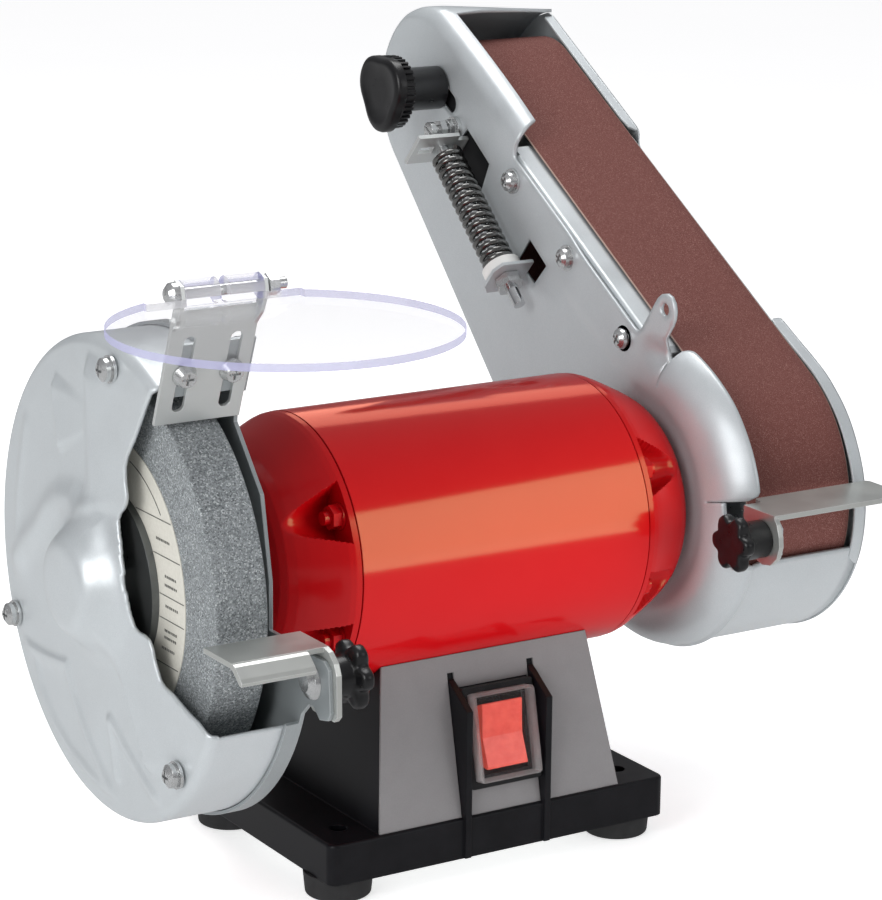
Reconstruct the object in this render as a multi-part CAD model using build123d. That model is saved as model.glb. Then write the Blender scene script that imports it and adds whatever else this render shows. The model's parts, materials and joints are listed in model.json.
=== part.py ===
from build123d import *
import math
import os

# Combination bench grinder and belt sander, millimetres.
# +X to the belt side (right), +Y to the back, +Z up.  Origin: bench plane, centre of the
# four bench bolt holes.  The spindle runs along X.
# Each piece is built by a function of its own name, in one of the frames listed at the end.

# ---------------------------------------------------------------- driving dimensions
SHAFT_Y, SHAFT_Z = -8.5, 123.0            # spindle axis
SPINDLE_BORE = 6.35                       # bore radius of what sits on the spindle ends
BOLT_X, BOLT_Y, BOLT_R = 62.5, 42.5, 3.3  # bench bolt holes
FOOT_H, FOOT_R = 9.1, 13.2
BASE_X, BASE_Y, BASE_TOP = 74.5, 58.4, 24.8   # plinth half sizes and top
TUBE_R, TUBE_T, TUBE_X = 52.1, 2.0, 62.4
WHEEL_R, WHEEL_X0, WHEEL_W = 75.0, -133.8, 20.0
WHEEL_X1 = WHEEL_X0 + WHEEL_W
LABEL_R, LABEL_T = 52.6, 0.35
FLANGE_R = 33.0
COVER_X, COVER_T, COVER_R = -140.0, 1.2, 88.6
BACK_X, BACK_T, BACK_R = -106.4, 1.5, 90.2
BACK_X1 = BACK_X + BACK_T
LEAN = 58.52                              # belt arm from the vertical, degrees
BELT_X0, BELT_W, BELT_T = 104.0, 50.0, 1.2
BELT_X1 = BELT_X0 + BELT_W
DRIVE_R = 56.6                            # drive wheel under the belt
IDLER_U, IDLER_V, IDLER_R = 205.0, 29.0, 28.2
ARM_X, ARM_T, SIDE_COVER_X = 93.0, 1.5, 159.2
ARM_X1 = ARM_X + ARM_T

SPINDLE = Pos(0, SHAFT_Y, SHAFT_Z)
ARM = SPINDLE * Rot(-LEAN, 0, 0)


# ---------------------------------------------------------------- shape helpers
def x_cyl(radius, x0, x1, y=0.0, z=0.0):
    return Pos((x0 + x1) / 2, y, z) * Rot(0, 90, 0) * Cylinder(radius, x1 - x0)


def x_ring(outer, inner, x0, x1, y=0.0, z=0.0):
    return x_cyl(outer, x0, x1, y, z) - x_cyl(inner, x0 - 1, x1 + 1, y, z)


def side_cyl(side, radius, a, b, y=0.0, z=0.0, start=0.0):
    """X cylinder between distances a and b from start, towards +X or -X by side."""
    low, high = sorted((start + side * a, start + side * b))
    return x_cyl(radius, low, high, y, z)


def y_cyl(radius, y0, y1, x=0.0, z=0.0):
    return Pos(x, (y0 + y1) / 2, z) * Rot(90, 0, 0) * Cylinder(radius, y1 - y0)


def z_cyl(radius, z0, z1, x=0.0, y=0.0):
    return Pos(x, y, (z0 + z1) / 2) * Cylinder(radius, z1 - z0)


def block(x0, x1, y0, y1, z0, z1):
    centre = Pos((x0 + x1) / 2, (y0 + y1) / 2, (z0 + z1) / 2)
    return centre * Box(x1 - x0, y1 - y0, z1 - z0)


def hexagon(flats):
    return RegularPolygon(flats / 2, 6, major_radius=False)


def x_hex(flats, x0, x1, y=0.0, z=0.0, turn=0.0):
    return Pos(x0, y, z) * Rot(turn, 0, 0) * Rot(0, 90, 0) * extrude(hexagon(flats), x1 - x0)


def yz_prism(points, x0, x1):
    """Prism along X from a (y, z) outline."""
    outline = Polyline([(0, y, z) for y, z in points], close=True)
    return Pos(x0, 0, 0) * extrude(make_face(outline), x1 - x0, dir=(1, 0, 0))


def x_revolve(profile, x=0.0, y=0.0, z=0.0):
    """Solid of revolution about X from (x, radius) points, moved to x, y, z."""
    outline = Polyline([(a, 0, radius) for a, radius in profile], close=True)
    return Pos(x, y, z) * revolve(make_face(outline), Axis.X)


def x_slot(radius, half, x0, x1, y, z):
    """Round-ended slot cutter along Y; half is from its middle to an end centre."""
    ends = x_cyl(radius, x0, x1, y + half, z) + x_cyl(radius, x0, x1, y - half, z)
    return ends + block(x0, x1, y - half, y + half, z - radius, z + radius)


def x_cross(depth, width, length, x, y, z):
    """Cross recess cutter for a screw along X."""
    return Pos(x, y, z) * (Box(depth, width, length) + Box(depth, length, width))


def z_cross(depth, width, length, x, y, z):
    return Pos(x, y, z) * Box(length, width, depth) + Pos(x, y, z) * Box(width, length, depth)


def drill(shape, points, radius, x0, x1):
    """Cut an X hole at each (y, z) point."""
    for y, z in points:
        shape -= x_cyl(radius, x0, x1, y, z)
    return shape


def corners(x, y):
    return [(sx * x, sy * y) for sx in (-1, 1) for sy in (-1, 1)]


def three_holes(radius):
    """(y, z) of three points equally spaced on a circle about the spindle."""
    angles = [math.radians(a) for a in (90, 210, 330)]
    return [(radius * math.cos(a), radius * math.sin(a)) for a in angles]


def try_fillet(shape, edges, radius):
    # guards edges the kernel cannot round: the shape is then left sharp
    try:
        rounded = fillet(edges, radius)
        if rounded.is_valid and rounded.volume > 0:
            return rounded
    except Exception:
        pass
    return shape


def largest(shape):
    """Biggest solid, without offcuts."""
    return sorted(shape.solids(), key=lambda solid: -solid.volume)[0]


def save(name, made, place):
    solids = []
    for shape in made if isinstance(made, list) else [made]:
        placed = place * shape if place is not None else shape
        solids.extend(placed.solids())
    result = solids[0] if len(solids) == 1 else Compound(children=solids)
    export_step(result, f"parts/{name}.step")


# ---------------------------------------------------------------- base
WALL = 3.0
PANEL_T = 1.0
PED_BOT_X, PED_TOP_X, PED_TOP_Z = 53.2, 45.2, 84.6      # pedestal half widths and top
PED_H = PED_TOP_Z - BASE_TOP
PED_FRONT, FRONT_RUN = -57.0, 12.9                      # front face at BASE_TOP, and its taper
PED_BACK, BACK_RUN = 40.5, 13.5
FIN_MID_X, FIN_PITCH = 1.4, 17.6                        # fins stand either side of the switch
FIN_HALF = 1.3
BENCH_BOLTS = corners(BOLT_X, BOLT_Y)
PLATE_SCREWS = corners(66.0, 16.0)
MOTOR_SCREW_X, MOTOR_SCREW_R = 30.0, 2.6
CORD_X, CORD_Z = 22.0, 40.0
FACE_TILT = math.degrees(math.atan2(FRONT_RUN, PED_H))
SWITCH_Z = 53.2
SWITCH_Y = PED_FRONT + FRONT_RUN * (SWITCH_Z - BASE_TOP) / PED_H
# local -Y points out of the pedestal's leaning front face
SWITCH = Pos(FIN_MID_X, SWITCH_Y, SWITCH_Z) * Rot(-FACE_TILT, 0, 0)

FIN_OUTLINE = [  # (y, z)
    (-45.6, 75.6), (-48.8, 73.8), (-59.6, 66.6), (-59.6, FOOT_H + 0.2),
    (-56.0, FOOT_H + 0.2), (-52.0, 30.0), (-43.4, 75.0)]


def pedestal(inset=0.0, front=0.0, z0=BASE_TOP - 2, z1=PED_TOP_Z):
    """Tapered pedestal between two heights; front moves its front face back."""
    def section_at(z):
        k = (z - BASE_TOP) / PED_H
        half_x = PED_BOT_X + (PED_TOP_X - PED_BOT_X) * k - inset
        y0 = PED_FRONT + FRONT_RUN * k + inset + front
        y1 = PED_BACK - BACK_RUN * k - inset
        return Pos(0, (y0 + y1) / 2, z) * Rectangle(2 * half_x, y1 - y0)
    return loft([section_at(z0), section_at(z1)])


def pedestal_inside(inset=WALL):
    return pedestal(inset=inset, front=PANEL_T, z0=BASE_TOP - 4, z1=PED_TOP_Z - 1)


def motor_seat():
    return SPINDLE * x_cyl(TUBE_R + 0.15, -80, 80)


def base_housing():
    plinth = block(-BASE_X, BASE_X, -BASE_Y, BASE_Y, FOOT_H, BASE_TOP)
    plinth = try_fillet(plinth, plinth.edges().filter_by(Axis.Z), 4.0)
    plinth = try_fillet(plinth, plinth.edges().group_by(Axis.Z)[-1], 1.2)
    hollow = block(-BASE_X + WALL, BASE_X - WALL, -BASE_Y + WALL, BASE_Y - WALL,
                   FOOT_H - 1, BASE_TOP - WALL)
    housing = (plinth - hollow) + (pedestal(front=PANEL_T) - motor_seat())
    housing -= pedestal_inside() - SPINDLE * x_cyl(TUBE_R + 3.2, -80, 80)
    fin_keep_out = pedestal_inside(WALL - 0.1)
    for side in (-1, 1):
        x = FIN_MID_X + side * FIN_PITCH
        fin = yz_prism(FIN_OUTLINE, x - FIN_HALF, x + FIN_HALF)
        housing += fin - fin_keep_out - hollow
    for radius, places in ((6.8, BENCH_BOLTS), (4.0, PLATE_SCREWS)):
        for x, y in places:
            housing += z_cyl(radius, FOOT_H + 1.5, BASE_TOP - 2, x, y)
    for bolt, screw in zip(BENCH_BOLTS, PLATE_SCREWS):
        housing -= z_cyl(BOLT_R, 0, 40, *bolt)
        housing -= z_cyl(1.5, 0, 19, *screw)
    housing -= SWITCH * block(-12.2, 12.2, -4, 8, -16.2, 16.2)
    housing -= y_cyl(6.1, 30, 50, CORD_X, CORD_Z)
    for side in (-1, 1):
        housing -= z_cyl(MOTOR_SCREW_R, 40, 90, side * MOTOR_SCREW_X, SHAFT_Y)
    return housing


def front_panel():
    """Thin skin on the pedestal's front, slit for the fins and cut out for the switch."""
    panel = pedestal() - pedestal(front=PANEL_T - 0.05, z0=BASE_TOP - 3, z1=PED_TOP_Z + 5)
    panel = panel & block(-60, 60, -70, 0, BASE_TOP + 0.1, 90)
    panel -= motor_seat()
    half = FIN_HALF + 0.15
    for side in (-1, 1):
        x = FIN_MID_X + side * FIN_PITCH
        panel -= yz_prism([(-70, 5), (-70, 78.0), (-30, 78.0), (-30, 5)], x - half, x + half)
    panel -= SWITCH * block(-15.9, 15.9, -9, 9, -19.4, 19.4)
    return panel


def base_bottom_plate():
    edge = WALL + 0.3
    plate = block(-BASE_X + edge, BASE_X - edge, -BASE_Y + edge, BASE_Y - edge,
                  FOOT_H + 0.1, FOOT_H + 1.3)
    for bolt, screw in zip(BENCH_BOLTS, PLATE_SCREWS):
        plate -= z_cyl(BOLT_R, 0, 40, *bolt)
        plate -= z_cyl(1.7, 0, 19, *screw)
    for i in range(-2, 3):
        x = -25 + i * 9
        plate -= block(x - 1.5, x + 1.5, -20, 20, 0, 20)
    return plate


def rubber_feet():
    """Tapered feet with a ring groove underneath."""
    feet = []
    for x, y in BENCH_BOLTS:
        foot = Pos(x, y, FOOT_H / 2) * Cone(FOOT_R - 0.9, FOOT_R, FOOT_H)
        foot = try_fillet(foot, foot.edges().group_by(Axis.Z)[0], 1.2)
        foot -= z_cyl(BOLT_R, -1, 40, x, y)
        foot -= z_cyl(6.6, -1, 2.6, x, y) - z_cyl(4.6, -1, 3, x, y)
        feet.append(foot)
    return feet


def bottom_plate_screws():
    head_z = FOOT_H - 1.9
    screws = []
    for x, y in PLATE_SCREWS:
        screw = z_cyl(3.4, head_z, FOOT_H + 0.05, x, y) + z_cyl(1.44, FOOT_H - 0.5, 18.0, x, y)
        screw -= z_cross(1.4, 0.8, 3.6, x, y, head_z)
        screws.append(screw)
    return screws


def run_capacitor():
    can = x_cyl(13.0, -38, 12, 8, 36)
    can = try_fillet(can, can.edges(), 1.5)
    can += block(12, 18, 2.6, 3.4, 34, 38) + block(12, 18, 12.6, 13.4, 34, 38)
    return can


def cable_gland():
    gland = y_cyl(6.0, 34.6, 52.0, CORD_X, CORD_Z) + y_cyl(8.5, 39.6, 41.4, CORD_X, CORD_Z)
    gland = gland + Pos(CORD_X, 57, CORD_Z) * Rot(90, 0, 0) * Cone(4.6, 6.0, 10)
    gland -= y_cyl(3.3, 30, 70, CORD_X, CORD_Z)
    # clear the pedestal's back wall
    gland -= (pedestal(front=PANEL_T) - pedestal_inside()
              - y_cyl(6.05, 30, 50, CORD_X, CORD_Z))
    return largest(gland)


def mains_cable():
    """Cable from inside the pedestal down to the bench, then to the left."""
    path = Spline([
        (CORD_X, 26, CORD_Z), (CORD_X, 46, CORD_Z), (CORD_X, 66, CORD_Z - 2),
        (CORD_X - 1, 86, 20), (CORD_X - 8, 92, 5.5), (CORD_X - 30, 96, 3.3),
        (CORD_X - 70, 92, 3.3)])
    return sweep(Plane(origin=path @ 0, z_dir=path % 0) * Circle(3.1), path=path)


# ---------------------------------------------------------------- switch (switch frame)
ROCKER_PIN_Y = 0.5


def switch_frame():
    frame = block(-15.6, 15.6, -3.6, -0.05, -19.1, 19.1)
    frame = try_fillet(frame, frame.edges().filter_by(Axis.Y), 1.2)
    frame += block(-12.0, 12.0, -3.6, 14.0, -16.0, 16.0)
    frame -= block(-10.6, 10.6, -5, 12.5, -14.6, 14.6)
    frame -= block(-13.5, 13.5, -5, -2.6, -16.8, 16.8)
    frame -= x_cyl(1.62, -13.0, 13.0, ROCKER_PIN_Y)
    return frame


def switch_cover():
    cover = block(-13.4, 13.4, -9.2, -2.65, -16.7, 16.7)
    edges = cover.edges().filter_by(Axis.Y) + cover.edges().group_by(Axis.Y)[0]
    cover = try_fillet(cover, edges, 1.6)
    cover -= block(-12.4, 12.4, -8.2, 5, -15.7, 15.7)
    return cover


def switch_rocker():
    outline = [(-5.8, -12.6), (-3.7, -0.5), (-6.0, 12.6), (3.0, 10.5), (3.0, -10.5)]  # (y, z)
    rocker = yz_prism(outline, -8.8, 8.8)
    rocker = try_fillet(rocker, rocker.edges().filter_by(Axis.X), 0.7)
    rocker += x_cyl(1.5, -11.5, 11.5, ROCKER_PIN_Y)
    return rocker


# ---------------------------------------------------------------- motor (spindle frame)
TIE_R = 45.5
TIES = [(TIE_R * -math.cos(math.radians(a)), TIE_R * math.sin(math.radians(a)))
        for a in (30.0, -30.0, 150.0, 210.0)]   # (y, z)
SCOOP_OUT = 1.06                            # scoop centres lie this factor outside the ties
GUARD_SCREWS = three_holes(18)              # hold the wheel guard on the left bell
CLAMP_SCREWS = three_holes(15)              # hold the belt arm on the right bell
BEARING_X0, BEARING_X1, BEARING_R = 79.8, 91.0, 17.52   # bearing pocket
BEARINGS = [(-90.95, -79.95), (79.95, 90.95)]
STACK_X = 25                                # half length of the stator and rotor stacks

# end bell section, (distance from the middle along X, radius)
BELL_PROFILE = [
    (62.4, 52.1), (66.0, 51.9), (69.5, 50.4), (84.0, 44.2), (88.0, 41.4), (90.6, 37.6),
    (91.8, 33.0), (92.6, 26.0), (92.6, 9.2), (91.0, 9.2), (91.0, 17.52), (79.8, 17.52),
    (79.8, 21.5), (86.4, 24.0), (86.0, 34.0), (82.0, 39.4), (66.0, 46.6), (57.0, 47.2),
    (57.0, 49.95), (62.4, 49.95)]
BELL_INSIDE = [
    (57.0, 0), (57.0, 47.2), (66.0, 49.9), (69.5, 48.4), (84.0, 42.2), (88.0, 39), (88, 0)]
# (radius, x0, x1)
SHAFT_STEPS = [
    (7.5, -108.6, -79.0), (8.9, -79.0, -64.0), (8.5, -64.0, 64.0), (8.9, 64.0, 79.0),
    (7.5, 79.0, 110.5), (6.3, -150.4, -108.6), (6.3, 110.5, 152.5)]


def motor_tube():
    tube = x_ring(TUBE_R, TUBE_R - TUBE_T, -TUBE_X + 0.05, TUBE_X - 0.05)
    for x in (MOTOR_SCREW_X, -MOTOR_SCREW_X):
        tube -= z_cyl(MOTOR_SCREW_R, -80, 0, x)
    return tube


def end_bell(side):
    """Cast bell with a bearing pocket and four bolt scoops; side -1 left, +1 right."""
    bell = x_revolve([(side * x, r) for x, r in BELL_PROFILE])
    for y, z in TIES:
        out_y, out_z = y * SCOOP_OUT, z * SCOOP_OUT
        inside = x_revolve([(side * x, r) for x, r in BELL_INSIDE])
        bell = bell + (side_cyl(side, 10.4, 62.4, 90.0, out_y, out_z) & inside)
        bell = bell - side_cyl(side, 8.2, 65.4, 100, out_y, out_z)
        bell = bell - side_cyl(side, 2.7, 50, 100, y, z)
    bell = bell - side_cyl(side, BEARING_R, BEARING_X0, BEARING_X1)
    return bell - side_cyl(side, 9.2, 60, 100)


def end_bell_left():
    bell = end_bell(-1) + x_ring(26.0, 9.2, BACK_X1 + 0.05, -92.0)
    return largest(drill(bell, GUARD_SCREWS, 2.02, -110, -95))


def end_bell_right():
    bell = end_bell(1) + x_ring(20.9, 9.2, 92.0, ARM_X1 + 0.06)
    return largest(drill(bell, CLAMP_SCREWS, 1.62, 91.1, 110))


def tie_bolts():
    bolts = []
    for y, z in TIES:
        bolt = x_cyl(2.5, -72.4, 71.6, y, z) + x_hex(8.0, -69.8, -65.45, y, z)
        bolt = bolt + x_cyl(5.0, -66.3, -65.45, y, z)
        bolt += x_hex(8.0, 65.45, 69.4, y, z) + x_cyl(5.0, 65.45, 66.3, y, z)
        bolts.append(bolt)
    return bolts


def stator_core():
    core = x_ring(TUBE_R - TUBE_T - 0.05, 28.2, -STACK_X, STACK_X)
    for i in range(24):
        core -= Rot(i * 15, 0, 0) * block(-26, 26, -1.8, 1.8, 26, 39)
    return drill(core, TIES, 5.6, -30, 30)


def stator_windings():
    coils = [x_ring(38.5, 30.0, x0, x1) for x0, x1 in ((-39.0, -25.1), (25.1, 39.0))]
    return [try_fillet(coil, coil.edges(), 2.5) for coil in coils]


def bearing_outer_rings():
    return [x_ring(17.5, 14.9, a, b) - x_cyl(15.6, a + 3, b - 3) for a, b in BEARINGS]


def bearing_inner_rings():
    return [x_ring(10.0, 7.52, a, b) for a, b in BEARINGS]


def bearing_balls():
    pitch_r = 12.45
    angles = [math.radians(i * 40) for i in range(9)]
    return [Pos((a + b) / 2, pitch_r * math.cos(t), pitch_r * math.sin(t)) * Sphere(2.4)
            for a, b in BEARINGS for t in angles]


def motor_shaft():
    shaft = x_cyl(*SHAFT_STEPS[0])
    for step in SHAFT_STEPS[1:]:
        shaft += x_cyl(*step)
    ends = shaft.edges().group_by(Axis.X)
    return try_fillet(shaft, ends[0] + ends[-1], 1.0)


def rotor_core():
    """Rotor stack with end rings and twelve small blades at each end."""
    rotor = x_ring(27.6, 8.52, -STACK_X, STACK_X) + x_ring(26.5, 15.0, -30, 30)
    for i in range(12):
        blades = block(29.5, 35, -1, 1, 19, 26) + block(-35, -29.5, -1, 1, 19, 26)
        rotor += Rot(i * 30, 0, 0) * blades
    return rotor


# ---------------------------------------------------------------- grinding wheel
def grinding_wheel():
    wheel = x_ring(WHEEL_R, SPINDLE_BORE, WHEEL_X0, WHEEL_X1)
    circles = wheel.edges().filter_by(GeomType.CIRCLE)
    return try_fillet(wheel, circles.sort_by(SortBy.RADIUS)[-2:], 0.6)


def wheel_labels():
    return [x_ring(LABEL_R, 17.0, WHEEL_X0 - LABEL_T, WHEEL_X0 - 0.02),
            x_ring(LABEL_R, 17.0, WHEEL_X1 + 0.02, WHEEL_X1 + LABEL_T)]


def wheel_flanges():
    """Recessed flanges; the inner one has a spacer collar to the shaft shoulder."""
    recess_r = FLANGE_R - 4
    inner = x_ring(FLANGE_R, SPINDLE_BORE, WHEEL_X1 + LABEL_T + 0.03, WHEEL_X1 + 3.2)
    inner = inner - x_ring(recess_r, 12, WHEEL_X1 + LABEL_T - 1, WHEEL_X1 + 1.2)
    inner += x_ring(9.2, SPINDLE_BORE, WHEEL_X1 + 3.0, -108.65)
    outer = x_ring(FLANGE_R, SPINDLE_BORE, WHEEL_X0 - 3.2, WHEEL_X0 - LABEL_T - 0.03)
    outer = outer - x_ring(recess_r, 12, WHEEL_X0 - 1.2, WHEEL_X0)
    return [inner, outer]


def wheel_nut():
    nut = x_hex(19.0, WHEEL_X0 - 13.0, WHEEL_X0 - 3.25) - x_cyl(6.32, -160, -100)
    chamfered = [(-13.0, 0), (-13.0, 9.6), (-11.8, 11.2), (-3.0, 11.2), (-3.0, 0)]
    return nut & x_revolve(chamfered, WHEEL_X0)


# ---------------------------------------------------------------- wheel guard
# Plane of the shield bracket as (y, z): it climbs to the front, its normal faces the front.
BRACKET_UP = (-0.364, 0.9314)
BRACKET_OUT = (-0.9314, -0.364)
BRACKET_FOOT = (-40.0, 65.8)
BRACKET_TILT = math.degrees(math.atan2(0.364, 0.9314))
BRACKET_SCREW_X = (-131.6, -113.6)
REST_Y, REST_Z = -92.0, -17.4               # wheel rest bolt
COVER_SCREW_R = 80.5
COVER_SCREWS = [tuple(COVER_SCREW_R * c / math.hypot(*way) for c in way)
                for way in ((-11.7, 80.0), (-58.0, -54.5), (74.0, -32.0))]   # (y, z)

BACK_CUT = [  # (y, z)
    (-42.0, 110.0), (-37.0, 62.0), (-56.0, 40.0), (-62.0, 10.0), (-62.0, -7.4),
    (-130.0, -7.4), (-130.0, 110.0)]
REST_EAR = [  # (y, z)
    (-66, -7.8), (-80, -7.8), (-100.0, -8.0), (-103.5, -10.5), (-104.5, -25.5),
    (-103.0, -28.4), (-97.5, -29.6), (-95.5, -28.0), (-93.0, -26.0), (-90.0, -26.2),
    (-86.0, -30.0), (-70, -44)]
COVER_CUT = [  # (y, z)
    (-110.0, 158.0), (-46.4, 79.9), (-37.8, 70.3), (-17.8, 51.7), (-18.7, 33.7),
    (-14.7, 27.1), (-23.5, 12.0), (-24.6, -4.0), (-25.7, -12.4), (-32.1, -15.1),
    (-37.4, -20.2), (-42.6, -27.9), (-56.3, -30.9), (-65.3, -32.6), (-73.4, -35.6),
    (-84.0, -35.6), (-130.0, -35.6)]
COVER_RIM = BACK_X - 0.1 - COVER_X
COVER_PROFILE = [  # (x from COVER_X, radius): outside face, then back along the inside
    (4.0, COVER_R), (1.2, COVER_R - 1.2), (0, COVER_R - 4.0), (-1.4, 60.0), (-3.0, 30.0),
    (-7.0, 24.5), (-16.0, 17.5), (-17.0, 14.0), (-17.0, 0), (-15.8, 0), (-15.8, 13.4),
    (-14.9, 16.6), (-6.0, 23.4), (-1.9, 29.2), (-0.2, 60.0), (1.2, COVER_R - 4.4),
    (2.2, COVER_R - 2.2), (4.0, COVER_R - 1.2), (COVER_RIM, COVER_R - 1.2),
    (COVER_RIM, COVER_R)]


def bracket_point(along, out):
    """(y, z) at a distance up the bracket plane and out of its front."""
    return (BRACKET_FOOT[0] + BRACKET_UP[0] * along + BRACKET_OUT[0] * out,
            BRACKET_FOOT[1] + BRACKET_UP[1] * along + BRACKET_OUT[1] * out)


def bracket_prism(points, x0, x1):
    return yz_prism([bracket_point(*p) for p in points], x0, x1)


def bracket_frame(x, along):
    """Frame on the bracket plane, local +Z out of its front."""
    return Pos(x, *bracket_point(along, 0)) * Rot(BRACKET_TILT, 0, 0) * Rot(90, 0, 0)


def front_sector(x0, x1, radius=130, start=31.0, end=113.0):
    """Pie slab over the guard's front opening; degrees from +Z towards -Y."""
    angles = [math.radians(start + (end - start) * i / 24) for i in range(25)]
    points = [(-radius * math.sin(a), radius * math.cos(a)) for a in angles]
    return yz_prism([(0, 0)] + points, x0, x1)


def wheel_guard_back():
    back = x_ring(BACK_R, 10.4, BACK_X, BACK_X1) + x_ring(BACK_R, BACK_R - 1.3,
                                                          BACK_X - 5.0, BACK_X1)
    back -= front_sector(BACK_X - 6, BACK_X - 0.01)
    back -= yz_prism(BACK_CUT, BACK_X - 6, BACK_X1 + 1)
    back += yz_prism(REST_EAR, BACK_X, BACK_X1)
    # square hole for the rest bolt
    half = 3.05
    back -= block(BACK_X - 1, BACK_X1 + 1, REST_Y - half, REST_Y + half,
                  REST_Z - half, REST_Z + half)
    # tab that carries the shield bracket, and its web
    tab = [(10.0, -1.6), (31.0, -1.6), (31.0, -0.05), (10.0, -0.05)]
    back += bracket_prism(tab, -134.5, BACK_X1)
    web = [(9.0, -12.0), (9.0, -0.05), (31.0, -0.05), (31.0, -1.6), (24, -12.0)]
    back += bracket_prism(web, BACK_X, BACK_X1)
    for x in BRACKET_SCREW_X:
        back -= bracket_frame(x, 20) * Cylinder(2.05, 12)
    for y, z in COVER_SCREWS:
        back += x_ring(3.9, 2.0, COVER_X + COVER_T + 0.05, BACK_X1, y, z)
        back -= x_cyl(2.0, COVER_X, BACK_X1 + 1, y, z)
    return largest(drill(back, GUARD_SCREWS, 2.05, -110, -100))


def guard_cover_shape():
    cover = x_revolve(COVER_PROFILE, COVER_X)
    cut = yz_prism(COVER_CUT, COVER_X - 2.7, BACK_X1 + 5)
    cover -= cut - x_cyl(24.0, COVER_X - 30, COVER_X)   # the hub dome stays whole
    cover -= front_sector(COVER_X + 0.8, 0)
    notch = [(9.0, -2.2), (40.0, -2.2), (40.0, 20.0), (9.0, 20.0)]
    cover -= bracket_prism(notch, -137.5, 0)
    return drill(cover, COVER_SCREWS, 2.1, COVER_X - 3, -100)


def wheel_guard_cover():
    return largest(guard_cover_shape())


def guard_cover_screws():
    cover = guard_cover_shape()
    head = [(-6.2, 0), (-6.0, 2.2), (-4.6, 4.2), (-3.0, 4.4), (-3.0, 0)]
    screws = []
    for y, z in COVER_SCREWS:
        screw = x_cyl(1.96, COVER_X - 2, BACK_X, y, z) + x_revolve(head, COVER_X, y, z)
        screw += (x_ring(3.9, 1.5, COVER_X - 3.0, COVER_X - 1.8, y, z)
                  + x_ring(5.0, 1.5, COVER_X - 2.2, COVER_X - 1.05, y, z))
        screw -= x_cross(3.4, 0.9, 4.6, COVER_X - 6.2, y, z)
        screws.append(largest(screw - cover))
    return screws


def guard_mount_screws():
    return [x_cyl(2.0, BACK_X - 1.0, -96.0, y, z) + x_cyl(4.0, BACK_X - 2.2, BACK_X - 0.03, y, z)
            for y, z in GUARD_SCREWS]


# ---------------------------------------------------------------- shield and bracket
BRACKET_X0, BRACKET_X1, BRACKET_T = -139.6, -106.6, 1.4
HINGE_Y, HINGE_Z = -59.0, 114.4
SHIELD_R, SHIELD_T = 58.0, 2.6
SHIELD_X, SHIELD_Y, SHIELD_Z = -128.6, -114.6, 111.9


def hinge_cyl(radius, x0, x1):
    return x_cyl(radius, x0, x1, HINGE_Y, HINGE_Z)


def shield_bracket():
    """Slotted blade whose side ears turn forward and hold the hinge bolt."""
    blade = bracket_prism([(0.0, 0.0), (46.0, 0.0), (46.0, BRACKET_T), (0.0, BRACKET_T)],
                          BRACKET_X0, BRACKET_X1)
    ear = [bracket_point(38.0, 0.0), bracket_point(51.0, 0.0),
           (HINGE_Y + 1.0, HINGE_Z + 4.6), (HINGE_Y - 3.6, HINGE_Z + 3.0),
           (HINGE_Y - 4.6, HINGE_Z - 1.6), bracket_point(44.0, 4.2), bracket_point(38.0, 1.4)]
    for x0 in (BRACKET_X0, BRACKET_X1 - BRACKET_T):
        blade += yz_prism(ear, x0, x0 + BRACKET_T)
    low, high, slot_r = 7.0, 33.0, 2.3
    for x in BRACKET_SCREW_X:
        for along in (low, high):
            blade -= bracket_frame(x, along) * Cylinder(slot_r, 12)
        blade -= bracket_prism([(low, -4), (high, -4), (high, 5), (low, 5)],
                               x - slot_r, x + slot_r)
    blade -= hinge_cyl(2.12, -150, -95)
    return largest(blade)


def shield_bracket_screws():
    pieces = []
    for x in BRACKET_SCREW_X:
        screw = z_cyl(1.95, -7.0, 3.5) + Pos(0, 0, 3.6) * Cone(4.4, 3.2, 3.0)
        screw = screw + z_cyl(4.4, 1.5, 2.2) - z_cross(2.4, 0.9, 4.4, 0, 0, 5.1)
        nut = Pos(0, 0, -4.7) * extrude(hexagon(7.0), 3.0) - z_cyl(1.9, -8, 0)
        frame = bracket_frame(x, 20)
        pieces += [frame * screw, frame * nut]
    return pieces


def shield_hinge_bolt():
    head = [(-4.1, 0), (-3.7, 2.4), (-2.1, 4.0), (0, 4.2), (0, 0)]
    bolt = hinge_cyl(2.0, -143.0, -98.0) + x_revolve(head, BRACKET_X0 - 0.1, HINGE_Y, HINGE_Z)
    nut = x_hex(7.0, -105.5, -101.6, HINGE_Y, HINGE_Z) - hinge_cyl(2.03, -110, -95)
    return [bolt, nut]


def eye_shield():
    """Flat disc with a straight tongue back to two hinge barrels."""
    z0, z1 = SHIELD_Z - SHIELD_T / 2, SHIELD_Z + SHIELD_T / 2
    shield = z_cyl(SHIELD_R, z0, z1, SHIELD_X, SHIELD_Y)
    shield += block(-152.0, -95.0, SHIELD_Y + 40.0, HINGE_Y + 1.8, z0, z1)
    for x0, x1 in ((-138.1, -124.9), (-121.3, -108.1)):
        shield += hinge_cyl(4.6, x0, x1) + block(x0, x1, HINGE_Y - 4.0, HINGE_Y + 1.2,
                                                 SHIELD_Z, HINGE_Z)
    shield -= hinge_cyl(2.06, -150, -95)
    for x0, x1 in ((-153, -138.15), (-108.05, -94)):    # room for the bracket ears
        shield -= block(x0, x1, HINGE_Y - 5.2, HINGE_Y + 9, SHIELD_Z - 4, SHIELD_Z + 12)
    return largest(shield)


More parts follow.
